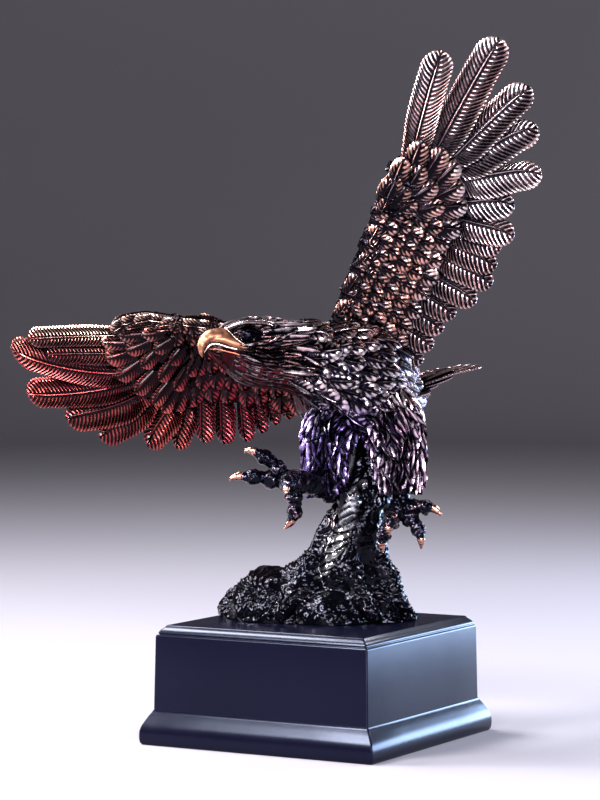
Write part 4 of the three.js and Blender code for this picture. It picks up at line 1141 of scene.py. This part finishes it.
def make_ground():
    V, F, A = joined(ground.items)
    ob = bpy.data.objects.new("tmp_ground", to_mesh("tmp", V, F))
    bpy.context.scene.collection.objects.link(ob)
    m = ob.modifiers.new("r", "REMESH")
    m.mode, m.voxel_size = "VOXEL", 0.95
    m.adaptivity = 0.0
    sm = ob.modifiers.new("s", "SMOOTH")
    sm.iterations, sm.factor = 6, 0.5
    dg = bpy.context.evaluated_depsgraph_get()
    me = bpy.data.meshes.new_from_object(ob.evaluated_get(dg))
    bpy.data.objects.remove(ob)
    bm = bmesh.new()
    bm.from_mesh(me)
    geom = bm.verts[:] + bm.edges[:] + bm.faces[:]
    cut = bmesh.ops.bisect_plane(bm, geom=geom, plane_co=(0, 0, FLOOR_Z + 0.0), plane_no=(0, 0, 1), clear_inner=True)
    edges = [e for e in cut["geom_cut"] if isinstance(e, bmesh.types.BMEdge)]
    bmesh.ops.holes_fill(bm, edges=edges, sides=0)
    bmesh.ops.triangulate(bm, faces=bm.faces[:])
    bm.to_mesh(me)
    bm.free()
    V, F = read_mesh(me)
    N = np.empty(len(me.vertices) * 3)
    me.vertices.foreach_get("normal", N)
    N = N.reshape(-1, 3)
    # winding ridges like twisted, weathered wood: lines of equal value of a slow, warped field
    warp = np.stack([noise(V, 26, 3), noise(V, 26, 4), noise(V, 30, 5)], -1) * 9
    W = V + warp
    # upright grain on the trunk, folds lying flat around its foot
    flat = 1 - step(FLOOR_Z + 13, FLOOR_Z + 30, V[:, 2])
    field = (noise(W * [1, 1, 0.55], 24, 7) * (1 - flat) + noise(W * [0.42, 0.42, 1.7], 15, 7) * flat) * 8.5 + noise(W, 60, 8) * 7
    ridge = 1 - np.abs(np.sin(field * np.pi))
    ridge2 = 1 - np.abs(np.sin((field * 2.7 + noise(V, 9, 9)) * np.pi))
    lumps = noise(V, 13, 10) * 1.3 + noise(V, 6, 11) * 0.7 + noise(V, 2.8, 12) * 0.35
    broken = step(-0.35, 0.4, noise(W, 11, 13))
    ridge = ridge * (0.25 + 0.75 * broken)
    keep = step(FLOOR_Z + 0.2, FLOOR_Z + 3, V[:, 2])
    # a strip of ringed relief up the front of the trunk, coloured pale white-blue as a painted highlight
    strip_x = np.where(V[:, 2] > 101.6, 8.9 + (V[:, 2] - 101.6) * 0.357, 8.9 + (V[:, 2] - 101.6) * 0.7)
    highlight_strip = np.exp(-((V[:, 0] - strip_x) / 5.6) ** 2) * step(84, 92, V[:, 2]) * (1 - step(139, 147, V[:, 2])) * step(0, -6, V[:, 1])
    band = np.abs(np.sin((V[:, 2] * 0.25 - V[:, 0] * 0.10 + 0.5 * noise(V, 8, 15)) * np.pi))
    d = ((ridge * 1.15 + ridge2 * 0.5) * (1 - 0.9 * highlight_strip) + lumps * (1 - 0.65 * highlight_strip) - 0.8 + highlight_strip * (0.9 - 0.8 * (1 - band) ** 3)) * keep
    V = V + N * d[:, None]
    V[:, 2] = np.maximum(V[:, 2], FLOOR_Z)
    cav = np.clip((0.10 + 0.85 * ridge**2.2 + 0.3 * ridge2 * ridge) * (1 - 0.8 * highlight_strip) + highlight_strip * (0.15 + 1.25 * band**0.6), 0, 1.4)
    ground_highlight_strip.append(highlight_strip)
    return V, F, cav


ground_highlight_strip = []
GR = piece("stump_and_mound", *make_ground(), DARK_ROOT, tint=lambda V: ground_highlight_strip[0], sharp=60)

# ---------------------------------------------------------------- plinth
BLOCK, TAPER = 131.0, 0.8


def plinth_mesh():
    half = BLOCK / 2
    top = half - TAPER
    foot = [(4.6, 0.0), (5.5, 1.2), (5.85, 3.0), (5.9, 4.5), (5.85, 6.5), (5.65, 8.0), (5.3, 9.4), (4.7, 10.9), (3.9, 12.3), (2.95, 14.0), (1.9, 15.8), (1.05, 17.0), (0.5, 17.9), (0.45, 18.3), (0.0, 18.5)]
    prof = [(half + o, z) for o, z in foot]
    prof += [(half - 0.02, 19.2), (half - 0.3, 35), (top + 0.05, 58.2), (top, 58.7), (top - 0.25, 59.1), (top - 1.15, 59.3), (top - 1.3, 59.7), (top - 1.0, 60.1),
             (top - 1.1, 60.6), (top - 1.7, 61.6), (top - 2.7, 62.5), (top - 3.7, 63.3), (top - 4.0, 63.9), (top - 4.4, 64.25), (top - 5.2, 64.32)]
    V, rings_ = [], []
    seg = 6
    for h, z in prof:
        rc = 0.9
        ring = []
        for q in range(4):
            cx, cy = [(1, 1), (-1, 1), (-1, -1), (1, -1)][q]
            for k in range(seg + 1):
                a = math.radians(90 * q + 90 * k / seg)
                ring.append((cx * (h - rc) + rc * math.cos(a), cy * (h - rc) + rc * math.sin(a), z))
            nx, ny = [(-1, 1), (-1, -1), (1, -1), (1, 1)][q]
            for k in (1, 2, 3):
                f = k / 4
                a = math.radians(90 * q + 90)
                p0 = np.array([cx * (h - rc) + rc * math.cos(a), cy * (h - rc) + rc * math.sin(a)])
                p1 = np.array([nx * (h - rc) + rc * math.cos(a), ny * (h - rc) + rc * math.sin(a)])
                p = p0 + (p1 - p0) * f
                ring.append((p[0], p[1], z))
        rings_.append(ring)
    P = np.array(rings_)
    V, F, A = rings(P, np.full(P.shape[:2], 0.5))
    return tidy(V, F, A)


def black_lacquer():
    m, nt, sh = new_material("black_lacquer")
    co = node(nt, "ShaderNodeTexCoord").outputs["Object"]
    big = noise_node(nt, co, 14, 3)
    fine = noise_node(nt, co, 900, 3, 0.6)
    mid = noise_node(nt, co, 130, 4, 0.6)
    base = mix_col(nt, big, (0.0011, 0.0011, 0.0050), (0.0020, 0.0020, 0.0085))
    nt.links.new(base, sh.inputs["Base Color"])
    r = maths(nt, "ADD", mix_val(nt, mid, 0.17, 0.25), maths(nt, "MULTIPLY", fine, 0.06))
    nt.links.new(r, sh.inputs["Roughness"])
    sh.inputs["Specular IOR Level"].default_value = 0.17
    sh.inputs["Specular Tint"].default_value = (0.62, 0.72, 1.0, 1.0)
    b = node(nt, "ShaderNodeBump")
    b.inputs["Strength"].default_value = 0.05
    b.inputs["Distance"].default_value = 0.0003
    nt.links.new(fine, b.inputs["Height"])
    nt.links.new(b.outputs[0], sh.inputs["Normal"])
    return m


V, F_, A = plinth_mesh()
me = to_mesh("plinth_turned", V * 0.001, F_)
me.polygons.foreach_set("use_smooth", np.ones(len(me.polygons), dtype=bool))
me.set_sharp_from_angle(angle=math.radians(35))
PL = bpy.data.objects.new("plinth_turned", me)
bpy.context.scene.collection.objects.link(PL)
me.materials.append(black_lacquer())
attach(PL, "root")
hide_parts("plinth")

# ---------------------------------------------------------------- stage, camera, lights
def flat_material(name, colour, rough):
    m, nt, sh = new_material(name)
    sh.inputs["Base Color"].default_value = (*colour, 1)
    sh.inputs["Roughness"].default_value = rough
    return m


def make_stage():
    # a round floor that sweeps up into a wall far behind the part, the same from every side
    prof = [(0.0, 0.0), (0.6, 0.0), (1.4, 0.0), (2.2, 0.0), (3.0, 0.0)]
    R = 1.2
    for k in range(1, 13):
        a = math.radians(90 * k / 12)
        prof.append((3.0 + R * math.sin(a), R - R * math.cos(a)))
    prof.append((4.2, 4.5))
    bm = bmesh.new()
    seg = 64
    centre = bm.verts.new((0, 0, 0))
    last = None
    for d, z in prof[1:]:
        ring = [bm.verts.new((d * math.cos(2 * math.pi * k / seg), d * math.sin(2 * math.pi * k / seg), z)) for k in range(seg)]
        for k in range(seg):
            m = (k + 1) % seg
            if last is None:
                bm.faces.new((centre, ring[k], ring[m]))
            else:
                bm.faces.new((last[k], ring[k], ring[m], last[m]))
        last = ring
    me = bpy.data.meshes.new("studio_floor")
    bm.to_mesh(me)
    bm.free()
    me.polygons.foreach_set("use_smooth", np.ones(len(me.polygons), dtype=bool))
    ob = bpy.data.objects.new("studio_floor", me)
    bpy.context.scene.collection.objects.link(ob)
    me.materials.append(flat_material("studio_floor", (0.20, 0.192, 0.224), 0.9))


make_stage()


def area(name, pos, target, size, power, colour=(1, 1, 1)):
    li = bpy.data.lights.new(name, "AREA")
    li.shape = "RECTANGLE"
    li.size, li.size_y = size
    li.energy = power
    li.color = colour
    ob = bpy.data.objects.new(name, li)
    bpy.context.scene.collection.objects.link(ob)
    ob.location = pos
    ob.visible_camera = False
    ob.rotation_euler = (Vector(target) - Vector(pos)).to_track_quat("-Z", "Y").to_euler()
    return ob


def from_camera(right, toward, up):
    """metres right of, towards the camera from, and above the part"""
    p = np.array([0.872, 0.4897, 0]) * right + np.array([0.4897, -0.872, 0]) * toward
    return (p[0], p[1], up)


AIM = (0, 0, 0.22)
area("key", from_camera(-0.98, 0.70, 1.12), AIM, (0.42, 0.42), 58, (1.0, 0.97, 0.95))
area("front", from_camera(-0.30, 1.55, 0.72), AIM, (0.9, 0.10), 31, (1.0, 0.97, 0.96))
area("front_right", from_camera(0.8, 1.25, 0.75), AIM, (0.22, 0.4), 14, (0.95, 0.95, 1.0))
area("side", from_camera(1.05, -0.62, 0.17), (0, 0, 0.07), (0.8, 0.33), 25.0, (0.48, 0.67, 1.0))
area("low", from_camera(-0.12, 1.5, 0.04), (0, 0, 0.18), (0.5, 0.05), 8, (1.0, 0.92, 0.92))
area("top", from_camera(-0.62, -0.34, 1.28), AIM, (0.5, 0.5), 46, (1.0, 0.98, 0.99))
area("rim", from_camera(-1.15, -0.10, 0.55), AIM, (0.25, 0.6), 26, (1.0, 0.94, 0.92))
area("back_right", from_camera(0.95, -0.62, 0.95), AIM, (0.4, 0.4), 17, (0.88, 0.92, 1.0))

world = bpy.data.worlds.new("studio")
bpy.context.scene.world = world
world.use_nodes = True
world.node_tree.nodes["Background"].inputs[0].default_value = (0.50, 0.48, 0.60, 1)
world.node_tree.nodes["Background"].inputs[1].default_value = 0.08

cam_data = bpy.data.cameras.new("camera")
cam_data.lens = 135
cam_data.sensor_width = 36
cam_data.sensor_fit = "AUTO"
cam_data.clip_start = 0.05
cam = bpy.data.objects.new("camera", cam_data)
bpy.context.scene.collection.objects.link(cam)
cam.location = (0.7928, -1.4325, 0.2503)
cam.rotation_euler = Vector((-0.489, 0.871, -0.0398)).to_track_quat("-Z", "Y").to_euler()
bpy.context.scene.camera = cam
bpy.context.scene.view_settings.view_transform = "Standard"
